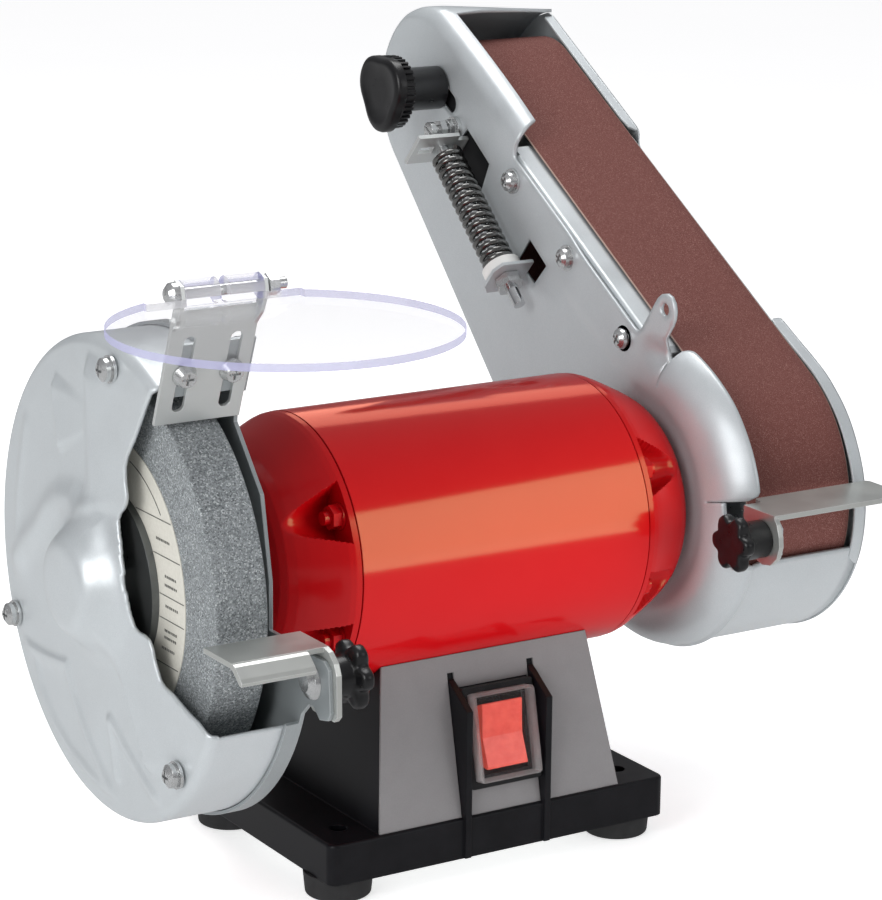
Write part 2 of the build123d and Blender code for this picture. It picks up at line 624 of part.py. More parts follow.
# ---------------------------------------------------------------- wheel rest
TABLE_Z = -3.9                              # top of the table
LEG_X0, LEG_X1 = BACK_X1 + 0.05, BACK_X1 + 2.05
REST_LIP = [  # (y, z from TABLE_Z)
    (-96.6, -1.9), (-96.6, 0), (-98.4, -0.2), (-99.8, -0.8), (-103.6, -4.0),
    (-104.6, -5.3), (-104.3, -6.5), (-102.9, -6.2), (-98.6, -2.6), (-97.6, -2.1)]
REST_LEG = [  # (y, z)
    (-77.6, TABLE_Z), (-97.0, TABLE_Z), (-100.5, TABLE_Z - 1.0), (-104.5, TABLE_Z - 4.2),
    (-106.2, TABLE_Z - 8.0), (-106.5, -26.5), (-104.5, -28.6), (-90.0, -28.6),
    (-85.0, -25.0), (-77.6, -10.0)]


def wheel_rest():
    """Table with a turned-down front lip and a slotted leg."""
    table = block(-140.2, LEG_X1, -97.4, -77.6, TABLE_Z - 1.9, TABLE_Z)
    lip = yz_prism([(y, TABLE_Z + z) for y, z in REST_LIP], -140.2, -111.6)
    rest = table + lip + yz_prism(REST_LEG, LEG_X0, LEG_X1)
    rest -= x_slot(3.1, 5.0, LEG_X0 - 1, LEG_X1 + 1, REST_Y, REST_Z)
    return rest


def wheel_rest_bolt():
    """Domed head, square neck in the guard's ear, round shank."""
    head = [(-3.6, 0), (-3.2, 3.2), (-1.6, 5.8), (-0.06, 6.6), (-0.06, 0)]
    bolt = x_revolve(head, BACK_X, REST_Y, REST_Z)
    half = 2.98
    bolt += (block(BACK_X - 0.5, BACK_X1, REST_Y - half, REST_Y + half,
                   REST_Z - half, REST_Z + half)
             + x_cyl(2.95, BACK_X1 - 0.5, -91.0, REST_Y, REST_Z))
    return bolt


def clamp_knob(y, z, start, side, hub_length, head_length, radius, bore_depth):
    """Six-lobed knob from x = start towards +X or -X by side."""
    def cyl(cyl_radius, a, b, at_y=y, at_z=z):
        return side_cyl(side, cyl_radius, a, b, at_y, at_z, start)

    end = hub_length + head_length
    knob = cyl(7.4, 0, hub_length) + cyl(radius * 0.80, hub_length - 0.5, end)
    for i in range(6):
        t = math.radians(i * 60 + 15)
        reach = radius * 0.72
        knob += cyl(radius * 0.30, hub_length - 0.5, end,
                    y + reach * math.cos(t), z + reach * math.sin(t))
    for i in range(6):
        t = math.radians((i + 0.5) * 60 + 15)
        reach = radius * 0.98
        knob -= cyl(radius * 0.22, hub_length - 2, end + 1,
                    y + reach * math.cos(t), z + reach * math.sin(t))
    end_face = knob.faces().sort_by(Axis.X)[-1 if side > 0 else 0]
    knob = try_fillet(knob, end_face.edges(), 1.0)
    return knob - cyl(3.02, -1, bore_depth)


def wheel_rest_knob():
    return clamp_knob(REST_Y, REST_Z, LEG_X1 + 0.06, 1, hub_length=9.6, head_length=5.4,
                      radius=12.4, bore_depth=12.6)


# ---------------------------------------------------------------- belt arm geometry
# Arm frame points are (u, v): u along the arm from the spindle, v to its front.
def arm_prism(points, x0, x1):
    return yz_prism([(-v, u) for u, v in points], x0, x1)


def arm_cyl(radius, x0, x1, u, v):
    return x_cyl(radius, x0, x1, -v, u)


def arc(u, v, radius, start, end, steps):
    """(u, v) points on an arc; angle 0 is +u, 90 is +v."""
    angles = [math.radians(start + (end - start) * i / steps) for i in range(steps + 1)]
    return [(u + radius * math.cos(a), v + radius * math.sin(a)) for a in angles]


def tangent_angle(radius, far_centre, far_radius, side):
    """Angle where the line touching both circles meets them; +1 front, -1 back."""
    spread = math.acos((radius - far_radius) / math.hypot(*far_centre))
    return math.degrees(math.atan2(far_centre[1], far_centre[0]) + side * spread)


def belt_loop(drive_radius, idler_radius, x0, x1):
    front, back = [tangent_angle(drive_radius, (IDLER_U, IDLER_V), idler_radius, side)
                   for side in (1, -1)]
    return arm_prism(arc(IDLER_U, IDLER_V, idler_radius, front, back, 40)
                     + arc(0, 0, drive_radius, back, front - 360, 40), x0, x1)


PAN_R = 61.4                                # pan round the drive wheel
END_U, END_V, END_R = 206.8, 32.0, 39.0     # rounded far end of the arm
PAN_FRONT_V = 69.0
BACK_TANGENT = tangent_angle(PAN_R, (END_U, END_V), END_R, -1)
KNOB_U, KNOB_V = 203.2, 44.5                # tracking knob
STOP_U, STOP_V = 183.4, 38.2                # stop screw
PLATEN_SCREWS = [(137.0, 47.8), (88.8, 47.8), (40.4, 47.8)]     # (u, v)
SIDE_SCREWS = [(78.0, 22.0), (84.0, -14.0), (150.0, 10.0)]      # (u, v)
BELT_REST_Y, BELT_REST_Z = -78.2, 1.2       # belt rest bolt, spindle frame

# Tension rod: its spring's lower and upper ends in (u, v); it leans a little off the arm.
SPRING_X = 84.0
SPRING_LOW, SPRING_HIGH = (114.0, 21.5), (173.6, 33.5)
ROD_RUN = (SPRING_HIGH[0] - SPRING_LOW[0], SPRING_HIGH[1] - SPRING_LOW[1])
SPRING_L = math.hypot(*ROD_RUN)
# local +Z runs up the rod from the spring's lower end
ROD = (Pos(SPRING_X, -SPRING_LOW[1], SPRING_LOW[0])
       * Rot(math.degrees(math.atan2(ROD_RUN[1], ROD_RUN[0])), 0, 0))

# Openings in the side plate, (u, v): at the tracking knob, by the spring's top, and its foot
PLATE_WINDOWS = [
    [(KNOB_U + 4.2, KNOB_V - 4.0), (KNOB_U + 4.2, KNOB_V + 4.0),
     (KNOB_U - 14.4, KNOB_V + 4.0), (KNOB_U - 14.4, KNOB_V - 4.0)],
    [(176.6, 43.6), (155.0, 42.0), (153.5, 26.0), (181.5, 27.5)],
    [(114.6, 35.6), (99.0, 34.4), (101.8, 22.0), (117.0, 22.0)]]
PLATEN_GAP = [  # (u, v)
    (10.0, 52.4), (141.0, 52.4), (148.0, 62.0), (150.0, 90.0), (1.0, 90.0), (4.0, 60.0)]
FRONT_OPENING = [  # (u, v)
    (-30.0, 40.0), (214.0, 40.0), (224.0, 56.6), (241.2, 81.1), (241.0, 100.0),
    (-30.0, 100.0)]
LUG = [  # (u, v)
    (12.0, 52.0), (20.0, 62.0), (19.0, 76.0), (21.5, 81.0), (25.5, 82.6), (29.5, 81.0),
    (32.0, 76.0), (33.5, 60.0), (38.0, 50.0)]
BELT_REST_TAB = [  # (y, z), spindle frame
    (-60.6, -14.8), (-70.0, -7.2), (-86.4, -5.4), (-86.4, 8.0), (-72.5, 8.0),
    (-67.4, 0.6), (-59.6, -1.2)]


def rod_point(along, aside):
    """(u, v) at a distance up the rod and to its front."""
    du, dv = ROD_RUN[0] / SPRING_L, ROD_RUN[1] / SPRING_L
    return (SPRING_LOW[0] + du * along - dv * aside, SPRING_LOW[1] + dv * along + du * aside)


# ---------------------------------------------------------------- arm housing
def pan_outline(inset):
    """Closed side outline of the housing, drawn in by inset."""
    end_r = END_R - inset
    start = math.degrees(math.asin((PAN_FRONT_V - inset - END_V) / end_r))
    points = arc(END_U, END_V, end_r, start, BACK_TANGENT, 26)
    points += arc(0, 0, PAN_R - inset, BACK_TANGENT, -214, 30)
    for i in range(13):
        k = i / 12
        a = math.radians(-220 - 46 * k)
        radius = 71.0 - 5.2 * min(1.0, k * 1.25) - inset
        points.append((radius * math.cos(a), radius * math.sin(a)))
    return points


def open_pan():
    """Pan with its front cut open, down to 13.5 degrees under the spindle."""
    pan = (arm_prism(pan_outline(0), ARM_X, SIDE_COVER_X - 0.05)
           - arm_prism(pan_outline(ARM_T), ARM_X1, SIDE_COVER_X + 5))
    pan -= arm_prism(PLATEN_GAP, 0, 200)
    flange_x = 102.6
    pan -= arm_prism(FRONT_OPENING, flange_x, 200)
    wrap_end = LEAN + 90 + 13.5
    pan -= arm_prism([(0, 0)] + arc(0, 0, 120.0, 60.0, wrap_end, 20), flange_x, 200)
    low = arm_prism([(0, 0)] + arc(0, 0, 120.0, wrap_end - 25.5, wrap_end, 6), ARM_X1, 200)
    pan -= low - arm_prism(arc(0, 0, 58.0, 0, 360, 40)[:-1], 0, 200)
    return pan


def spring_seat():
    """Folded seat under the spring; the rod leans in its hole, so the hole is long."""
    outline = [rod_point(*p) for p in ((-5.2, -9.5), (-3.6, -9.5), (-3.6, 9.5), (-5.2, 9.5))]
    seat = arm_prism(outline, 75.6, ARM_X1)
    hole = z_cyl(2.75, -8, 0) + Pos(0, -2.1, 0) * z_cyl(2.75, -8, 0)
    return seat - ROD * (hole + block(-2.75, 2.75, -2.1, 0, -8, 0))


def arm_housing():
    housing = open_pan()
    housing += arm_prism(LUG, ARM_X, ARM_X1)
    housing -= arm_cyl(2.6, 80, 100, 25.8, 76.0)
    for window in PLATE_WINDOWS:
        housing -= arm_prism(window, 80, ARM_X1 + 1)
    housing -= x_cyl(21.0, 80, 100)
    for u, v in PLATEN_SCREWS:
        housing -= arm_cyl(2.1, 80, 100, u, v)
    # posts between the belt's two runs for the side cover's screws
    for u, v in SIDE_SCREWS:
        housing += arm_cyl(4.4, ARM_X + 0.5, SIDE_COVER_X - 0.05, u, v)
        housing -= arm_cyl(1.9, SIDE_COVER_X - 13, 200, u, v)
    tab = Rot(LEAN, 0, 0) * yz_prism(BELT_REST_TAB, 97.5, 99.0)
    tab -= Rot(LEAN, 0, 0) * x_cyl(3.02, 85, 110, BELT_REST_Y, BELT_REST_Z)
    housing += tab
    housing += spring_seat()
    return largest(housing)


def arm_clamp_ring():
    """Ring that holds the arm on the right end bell."""
    ring = x_ring(27.5, 9.6, ARM_X1 + 0.1, ARM_X1 + 2.6)
    return drill(ring, CLAMP_SCREWS, 1.7, 90, 110)


def arm_clamp_screws():
    return [x_cyl(1.6, 91.3, ARM_X1 + 3.0, y, z) + x_cyl(3.0, ARM_X1 + 2.65, ARM_X1 + 4.4, y, z)
            for y, z in CLAMP_SCREWS]


def arm_side_cover():
    x0, x1 = SIDE_COVER_X, SIDE_COVER_X + 1.4
    outline = arc(END_U, END_V, END_R, 47, BACK_TANGENT, 26)
    outline += arc(0, 0, PAN_R, BACK_TANGENT, -255, 34)
    outline += [(30.0, 56.0), (34.0, 52.4), (145.0, 52.4), (149.0, 58.2), (222.0, 58.6)]
    cover = arm_prism(outline, x0, x1)
    front_lip = arm_prism([(151.0, 56.8), (222.0, 57.2), (222.0, 58.6), (151.0, 58.2)],
                          x0 - 3.0, x1)
    low_lip = arm_prism(arc(0, 0, PAN_R, -248, -200.0, 14)
                        + arc(0, 0, PAN_R - 1.4, -200.0, -248, 14), x0 - 3.5, x1)
    cover += front_lip + low_lip
    for u, v in SIDE_SCREWS:
        cover -= arm_cyl(2.1, 140, 200, u, v)
    return largest(cover)


def side_cover_screws():
    x = SIDE_COVER_X
    screws = []
    for u, v in SIDE_SCREWS:
        screw = arm_cyl(1.86, x - 9.0, x + 2.0, u, v) + arm_cyl(3.8, x + 1.45, x + 3.8, u, v)
        screw -= x_cross(2.2, 0.8, 4.4, x + 3.8, -v, u)
        screws.append(screw)
    return screws


# ---------------------------------------------------------------- platen, belt and drive
def platen():
    """Flat plate under the belt; its rolled left edge turns down to the screws."""
    u0, face = 22.0, DRIVE_R - 0.25
    x0 = ARM_X1 + 0.05
    plate = arm_prism([(u0, face - 2.0), (148.0, face - 2.0), (148.0, face),
                       (u0 + 3.0, face), (u0, face - 1.0)], ARM_X1 + 2.0, 156.0)
    plate += arm_prism([(34.0, 40.0), (143.0, 40.0), (143.0, face - 0.6),
                        (34.0, face - 0.6)], x0, ARM_X1 + 1.75)
    plate += arm_prism([(34.0, face - 2.6), (143.0, face - 2.6), (143.0, face),
                        (34.0, face)], x0, ARM_X1 + 4.0)
    left_edge = [e for e in plate.edges()
                 if abs(e.center().X - x0) < 0.02 and abs(-e.center().Y - face) < 0.02]
    plate = try_fillet(plate, left_edge, 1.8)
    for u, v in PLATEN_SCREWS:
        plate -= arm_cyl(1.75, 90, 110, u, v)
    return plate


def platen_screws():
    head = [(-5.0, 0), (-4.8, 2.2), (-3.6, 3.8), (-2.2, 4.2), (-2.2, 0)]
    screws = []
    for u, v in PLATEN_SCREWS:
        y, z = -v, u
        screw = x_cyl(1.7, ARM_X - 3, ARM_X1 + 5.0, y, z) + x_revolve(head, ARM_X, y, z)
        screw += (x_ring(5.2, 1.5, ARM_X - 1.2, ARM_X - 0.04, y, z)
                  + x_ring(3.8, 1.5, ARM_X - 2.3, ARM_X - 1.1, y, z))
        screw -= x_cross(3.0, 0.9, 4.4, ARM_X - 5.0, y, z)
        screws.append(screw)
    return screws


def sanding_belt():
    """Closed loop, just clear of both pulleys."""
    gap = 0.08
    return (belt_loop(DRIVE_R + BELT_T, IDLER_R + BELT_T, BELT_X0, BELT_X1)
            - belt_loop(DRIVE_R + gap, IDLER_R + gap, BELT_X0 - 1, BELT_X1 + 1))


def drive_wheel():
    """Rim, hub, web and six ribs."""
    wheel = (x_ring(DRIVE_R, DRIVE_R - 4.0, BELT_X0 + 0.5, BELT_X1 - 0.5)
             + x_ring(12.0, SPINDLE_BORE, 111.0, 144.0)
             + x_ring(DRIVE_R - 3.0, 11.0, 126.0, 131.0))
    for i in range(6):
        wheel += Rot(i * 60, 0, 0) * block(115.0, 141.0, -1.6, 1.6, 11.0, DRIVE_R - 3.0)
    return wheel


def drive_wheel_nut():
    return x_hex(17.0, 144.1, 152.0) - x_cyl(SPINDLE_BORE, 100, 200)


# ---------------------------------------------------------------- tensioner and idler
CARRIAGE_X = ARM_X1 + 0.3
IDLER_BEARINGS = [(BELT_X0 + 1.0, BELT_X0 + 10.0), (BELT_X0 + 38.0, BELT_X0 + 47.0)]
CARRIAGE_OUTLINE = [  # (u, v)
    (126.0, 22.0), (216.0, 26.0), (216.0, 50.0), (190.0, 50.0), (158.0, 44.0),
    (156.0, 38.6), (126.0, 34.0)]


def rod_lever():
    """Plate that stands out through the upper window and takes the rod."""
    top, reach = SPRING_L + 9, CARRIAGE_X + 1.0 - SPRING_X
    z0, z1 = SPRING_L + 2.2, SPRING_L + 4.0
    lever = ROD * block(-14.8, reach, -8.2, 8.2, z0, z1)
    lever = lever - ROD * block(5.0, 40, -12, -5.4, 0, 90) - ROD * block(5.0, 40, 5.4, 12, 0, 90)
    lever -= ROD * z_cyl(2.55, SPRING_L, top)
    lever -= ROD * block(-12.0, -5.2, -2.0, 2.0, SPRING_L, top)
    return lever & ROD * block(-14.8, 40, -8.2, 8.2, z0, z1)


def tension_carriage():
    carriage = arm_prism(CARRIAGE_OUTLINE, CARRIAGE_X, CARRIAGE_X + 2.0)
    carriage += arm_prism([(193.0, 14.0), (216.0, 14.0), (216.0, 40.0), (193.0, 40.0)],
                          CARRIAGE_X, CARRIAGE_X + 2.0)
    carriage += rod_lever()
    carriage -= arm_cyl(5.2, 90, 110, IDLER_U, IDLER_V)
    return largest(carriage)


def tension_rod():
    rod = ROD * z_cyl(2.5, -19.0, SPRING_L + 5.3)
    return rod + ROD * z_cyl(4.2, SPRING_L + 4.05, SPRING_L + 5.3)


def rod_nut():
    return ROD * (Pos(0, 0, -10.0) * extrude(hexagon(10.0), 4.6) - z_cyl(2.53, -20, 0))


def spring_washer():
    return ROD * (z_cyl(8.2, -3.5, 0.9) - z_cyl(4.8, -8, 5))


def tension_spring():
    """Coil spring with its ends trimmed flat."""
    length = SPRING_L - 0.9
    helix = Helix(pitch=length / 16.5, height=length - 0.2, radius=5.95)
    coil = sweep(Plane(origin=helix @ 0, z_dir=helix % 0) * Circle(1.02), path=helix)
    spring = Pos(0, 0, 2.0) * coil
    spring = spring & z_cyl(12, 1.0, SPRING_L + 2.15)
    return ROD * spring


def stop_screw():
    y, z = -STOP_V, STOP_U
    screw = (x_cyl(1.9, ARM_X - 12.0, ARM_X - 0.5, y, z)
             + x_hex(7.0, ARM_X - 5.0, ARM_X - 2.0, y, z)
             + x_hex(7.0, ARM_X - 9.0, ARM_X - 6.2, y, z, 20))
    screw += (x_cyl(3.4, ARM_X - 13.8, ARM_X - 11.4, y, z)
              + x_cyl(5.0, ARM_X - 1.9, ARM_X - 0.06, y, z))
    screw -= Pos(ARM_X - 13.8, y, z) * Box(1.6, 0.9, 7)
    return screw


def idler_axle():
    return (arm_cyl(5.0, CARRIAGE_X, 153.0, IDLER_U, IDLER_V)
            + arm_cyl(7.5, CARRIAGE_X + 2.4, BELT_X0 - 2.0, IDLER_U, IDLER_V))


def idler_bearings():
    return [x_ring(11.0, 5.06, x0, x1, -IDLER_V, IDLER_U) for x0, x1 in IDLER_BEARINGS]


def idler_roller():
    y, z = -IDLER_V, IDLER_U
    roller = x_ring(IDLER_R, IDLER_R - 4.0, BELT_X0 + 0.5, BELT_X1 - 0.5, y, z)
    webs = [x_ring(IDLER_R - 3.0, 11.02, x0, x1, y, z) for x0, x1 in IDLER_BEARINGS]
    roller += webs[0] + webs[1]
    return roller


def tracking_knob():
    """Three-lobed head on a barrel, with a screw reaching the carriage."""
    x = ARM_X - 0.9
    valley_r, lobe_r = 14.8, 17.0
    outline = []
    for i in range(72):
        t = 2 * math.pi * i / 72
        radius = valley_r + (lobe_r - valley_r) * (0.5 + 0.5 * math.cos(3 * t))
        outline.append((KNOB_U + radius * math.cos(t), KNOB_V + radius * math.sin(t)))
    head = arm_prism(outline, x - 29.5, x - 20.0)
    head = try_fillet(head, head.faces().sort_by(Axis.X)[0].edges(), 1.2)
    knob = arm_cyl(9.2, x - 20.0, x, KNOB_U, KNOB_V)
    knob += head
    knob += arm_cyl(3.6, x - 1, CARRIAGE_X - 0.1, KNOB_U, KNOB_V)
    return knob


# ---------------------------------------------------------------- belt rest (spindle frame)
BELT_TABLE_Z = 11.5                         # top of the table
BELT_REST_EAR = [  # (y, z)
    (-66.6, BELT_TABLE_Z), (-84.6, BELT_TABLE_Z), (-87.0, 8.4), (-88.6, 4.0), (-89.0, 0.0),
    (-87.6, -4.6), (-84.0, -8.0), (-79.0, -8.8), (-74.0, -7.4), (-71.0, -3.4),
    (-69.0, 2.0), (-66.6, 7.0)]


def belt_rest():
    z0, z1 = BELT_TABLE_Z - 2.0, BELT_TABLE_Z
    rest = block(104.1, 159.6, -85.5, -61.2, z0, z1)
    rest = try_fillet(rest, rest.edges().filter_by(Axis.Z), 2.0)
    rest += block(95.4, 106.0, -85.5, -66.6, z0, z1)
    rest += yz_prism(BELT_REST_EAR, 95.4, 97.4)
    rest -= x_slot(3.1, 4.0, 94, 98, BELT_REST_Y, BELT_REST_Z)
    return rest


def belt_rest_bolt():
    return (x_cyl(2.96, 84.6, 99.6, BELT_REST_Y, BELT_REST_Z)
            + x_cyl(5.0, 99.05, 99.9, BELT_REST_Y, BELT_REST_Z))


def belt_rest_knob():
    return clamp_knob(BELT_REST_Y, BELT_REST_Z, 95.3, -1, hub_length=10.6, head_length=5.2,
                      radius=11.2, bore_depth=11.6)


# ---------------------------------------------------------------- pieces by frame
PIECES = [
    (None, [base_housing, front_panel, base_bottom_plate, rubber_feet, bottom_plate_screws,
            run_capacitor, cable_gland, mains_cable]),
    (SWITCH, [switch_frame, switch_cover, switch_rocker]),
    (SPINDLE, [motor_tube, end_bell_left, end_bell_right, tie_bolts, stator_core,
               stator_windings, bearing_outer_rings, bearing_inner_rings, bearing_balls,
               motor_shaft, rotor_core, grinding_wheel, wheel_labels, wheel_flanges,
               wheel_nut, wheel_guard_back, wheel_guard_cover, guard_cover_screws,
               guard_mount_screws, shield_bracket, shield_bracket_screws,
               shield_hinge_bolt, eye_shield, wheel_rest, wheel_rest_bolt,
               wheel_rest_knob, arm_clamp_ring, arm_clamp_screws, drive_wheel,
               drive_wheel_nut, belt_rest, belt_rest_bolt, belt_rest_knob]),
    (ARM, [arm_housing, arm_side_cover, side_cover_screws, platen, platen_screws,
           sanding_belt, tension_carriage, tension_rod, rod_nut, spring_washer,
           tension_spring, stop_screw, idler_axle, idler_bearings, idler_roller,
           tracking_knob]),
]

os.makedirs("parts", exist_ok=True)
for place, makers in PIECES:
    for make in makers:
        save(make.__name__, make(), place)
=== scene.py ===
"""Bench grinder with a grinding wheel at its left end and a leaning belt sander at its right end.

Row frame: metres, shaft along X, front towards -Y, floor at z = 0. Pieces are measured in
millimetres in the shaft frame (origin on the shaft axis) or in the belt arm frame.
"""

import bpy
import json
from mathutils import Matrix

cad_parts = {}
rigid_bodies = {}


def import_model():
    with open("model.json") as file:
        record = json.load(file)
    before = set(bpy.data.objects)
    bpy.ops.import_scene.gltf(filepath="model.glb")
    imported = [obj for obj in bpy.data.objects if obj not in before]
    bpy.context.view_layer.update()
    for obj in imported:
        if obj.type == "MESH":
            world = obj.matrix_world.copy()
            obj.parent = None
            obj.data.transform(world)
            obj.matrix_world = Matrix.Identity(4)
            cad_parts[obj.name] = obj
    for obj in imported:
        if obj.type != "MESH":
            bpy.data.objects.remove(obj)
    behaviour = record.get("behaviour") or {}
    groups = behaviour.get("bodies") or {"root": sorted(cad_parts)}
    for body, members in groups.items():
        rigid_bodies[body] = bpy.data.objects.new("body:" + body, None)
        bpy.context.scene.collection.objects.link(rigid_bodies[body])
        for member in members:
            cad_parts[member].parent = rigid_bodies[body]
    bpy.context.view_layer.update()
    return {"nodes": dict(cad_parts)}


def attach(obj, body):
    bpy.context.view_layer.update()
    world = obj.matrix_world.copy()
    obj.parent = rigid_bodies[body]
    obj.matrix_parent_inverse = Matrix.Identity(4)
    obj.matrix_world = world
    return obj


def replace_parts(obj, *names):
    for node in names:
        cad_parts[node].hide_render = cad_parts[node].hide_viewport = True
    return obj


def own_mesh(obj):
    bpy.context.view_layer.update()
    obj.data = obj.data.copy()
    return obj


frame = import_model()
import json
import math
import random
from collections import Counter

import bmesh
import bpy
import numpy as np
from mathutils import Matrix, Vector
from mathutils.geometry import delaunay_2d_cdt

nodes = frame["nodes"]
random.seed(7)
scene = bpy.context.scene

MM = 0.001
SHAFT_Y, SHAFT_Z = -8.5, 123.0
LEAN = math.radians(58.52)      # of the arm, from upright towards the back
SIN_LEAN, COS_LEAN = math.sin(LEAN), math.cos(LEAN)

BELT_X, BELT_WIDTH = 129.0, 50.0
ROD_X = 84.0                    # tension rod: foot and top as (up, fwd) in the arm frame
ROD_FOOT, ROD_TOP = (114.0, 21.5), (173.6, 33.5)
TRACK_KNOB = (203.2, 44.5)      # axis of the tracking knob, (up, fwd)


def shaft_point(x, y, z):
    """Shaft frame, millimetres, to the row frame."""
    return (x * MM, (y + SHAFT_Y) * MM, (z + SHAFT_Z) * MM)


def arm_point(x, up, fwd):
    """Belt arm frame, millimetres (x, up the arm, to its front), to the row frame."""
    return shaft_point(x, up * SIN_LEAN - fwd * COS_LEAN, up * COS_LEAN + fwd * SIN_LEAN)


# ---------------------------------------------------------------- shader nodes
class Shader:
    """Short ways to add nodes to a tree. Colours are RGB, lengths millimetres."""

    def __init__(self, tree):
        tree.nodes.clear()
        self.tree = tree

    def feed(self, node, key, value):
        """Link a socket into an input, or set the input to a plain value."""
        socket = node.inputs[key]
        if isinstance(value, bpy.types.NodeSocket):
            self.tree.links.new(value, socket)
        else:
            socket.default_value = (*value, 1.0) if socket.type == "RGBA" else value

    def add(self, kind, inputs=None, **settings):
        node = self.tree.nodes.new("ShaderNode" + kind)
        for name, value in settings.items():
            setattr(node, name, value)
        for key, value in (inputs or {}).items():
            self.feed(node, key, value)
        return node

    def coords(self, stretch=None):
        vector = self.add("TexCoord").outputs["Object"]
        if stretch:
            vector = self.add("Mapping", {"Vector": vector, "Scale": stretch}).outputs["Vector"]
        return vector

    def noise(self, vector, scale, detail=4.0, roughness=0.6):
        return self.add("TexNoise", {"Vector": vector, "Scale": scale, "Detail": detail,
                                     "Roughness": roughness}).outputs["Fac"]

    def grains(self, vector, scale):
        """Two random values for each Voronoi cell."""
        cells = self.add("TexVoronoi", {"Scale": scale, "Vector": vector})
        return self.add("SeparateColor", {0: cells.outputs["Color"]}).outputs[:2]

    def ramp(self, value, stops):
        node = self.add("ValToRGB", {"Fac": value})
        elements = node.color_ramp.elements
        while len(elements) < len(stops):
            elements.new(0.5)
        for element, (position, color) in zip(elements, stops):
            element.position = position
            element.color = (*color, 1.0)
        return node.outputs["Color"]

    def two_tone(self, value, low, high):
        return self.ramp(value, [(0.3, low), (0.7, high)])

    def remap(self, value, span, to):
        return self.add("MapRange", {0: value, 1: span[0], 2: span[1], 3: to[0],
                                     4: to[1]}).outputs[0]

    def math(self, operation, first, second=None):
        inputs = {0: first} if second is None else {0: first, 1: second}
        return self.add("Math", inputs, operation=operation).outputs[0]

    def mix(self, share, first, second):
        return self.add("Mix", {0: share, 6: first, 7: second}, data_type="RGBA").outputs[2]

    def mix_shaders(self, share, first, second):
        return self.add("MixShader", {0: share, 1: first, 2: second}).outputs[0]

    def dot(self, first, second):
        return self.add("VectorMath", {0: first, 1: second},
                        operation="DOT_PRODUCT").outputs["Value"]

    def bevel(self, radius):
        return self.add("Bevel", {"Radius": radius * MM}, samples=4).outputs["Normal"]

    def bump(self, height, strength, distance, normal=None):
        inputs = {"Strength": strength, "Distance": distance * MM, "Height": height}
        if normal is not None:
            inputs["Normal"] = normal
        return self.add("Bump", inputs).outputs["Normal"]

    def highlight_edge_mask(self, radius):
        """0 on flats, towards 1 on rounded edges: the mask of the painted edge highlight."""
        normal = self.add("NewGeometry").outputs["Normal"]
        return self.remap(self.dot(self.bevel(radius), normal), span=(0.995, 0.86), to=(0.0, 1.0))

    def surface(self, inputs):
        """Principled surface wired to the material output."""
        node = self.add("BsdfPrincipled", inputs)
        self.add("OutputMaterial", {0: node.outputs[0]})
        return node


MATERIALS = {}


def new_material(name):
    material = bpy.data.materials.new(name)
    material.use_nodes = True
    MATERIALS[name] = material
    return Shader(material.node_tree)


# ------------------------------------------------------------- solid materials
def solid(name, color, rough, metal, patches, grain, bevel, coat=(0.0, 0.08), specular=0.5,
          flecks=0.0, edge_highlight=None, stretch=None):
    """Patchy, finely grained surface; flecks is how strongly light grains show."""
    shader = new_material(name)
    vector = shader.coords(stretch)
    swing, patch_scale = patches
    grain_scale, strength, depth = grain
    big = shader.noise(vector, patch_scale, detail=5.0, roughness=0.55)
    fine = shader.noise(vector, grain_scale, detail=3.0)
    tone = shader.two_tone(big, tuple(c * (1 - swing) for c in color),
                           tuple(min(1.0, c * (1 + swing) + 0.002) for c in color))
    if flecks:
        light = tuple(min(1.0, c * 1.9 + 0.02) for c in color)
        tone = shader.mix(shader.remap(fine, span=(0.42, 0.62), to=(0.0, flecks)), tone, light)
    # painted highlight: rounded edges lightened towards the highlight colour
    if edge_highlight:
        radius, highlight_color, amount = edge_highlight
        tone = shader.mix(shader.math("MULTIPLY", shader.highlight_edge_mask(radius), amount), tone, highlight_color)
    middle, spread = rough
    rounded = shader.bevel(bevel) if bevel else None
    return shader, shader.surface({
        "Base Color": tone,
        "Roughness": shader.remap(big, span=(0.3, 0.7), to=(max(0.02, middle - spread),
                                                            min(1.0, middle + spread))),
        "Metallic": metal, "Specular IOR Level": specular,
        "Coat Weight": coat[0], "Coat Roughness": coat[1],
        "Normal": shader.bump(fine, strength, depth, rounded)})


ZINC = ((0.66, 0.68, 0.67), (0.34, 0.03), 0.7, (0.03, 50), (2600, 0.06, 0.01), 0.35)
# painted highlight on the zinc's rounded edges
ZINC_HIGHLIGHT = dict(edge_highlight=(0.45, (0.97, 0.98, 0.98), 0.7))
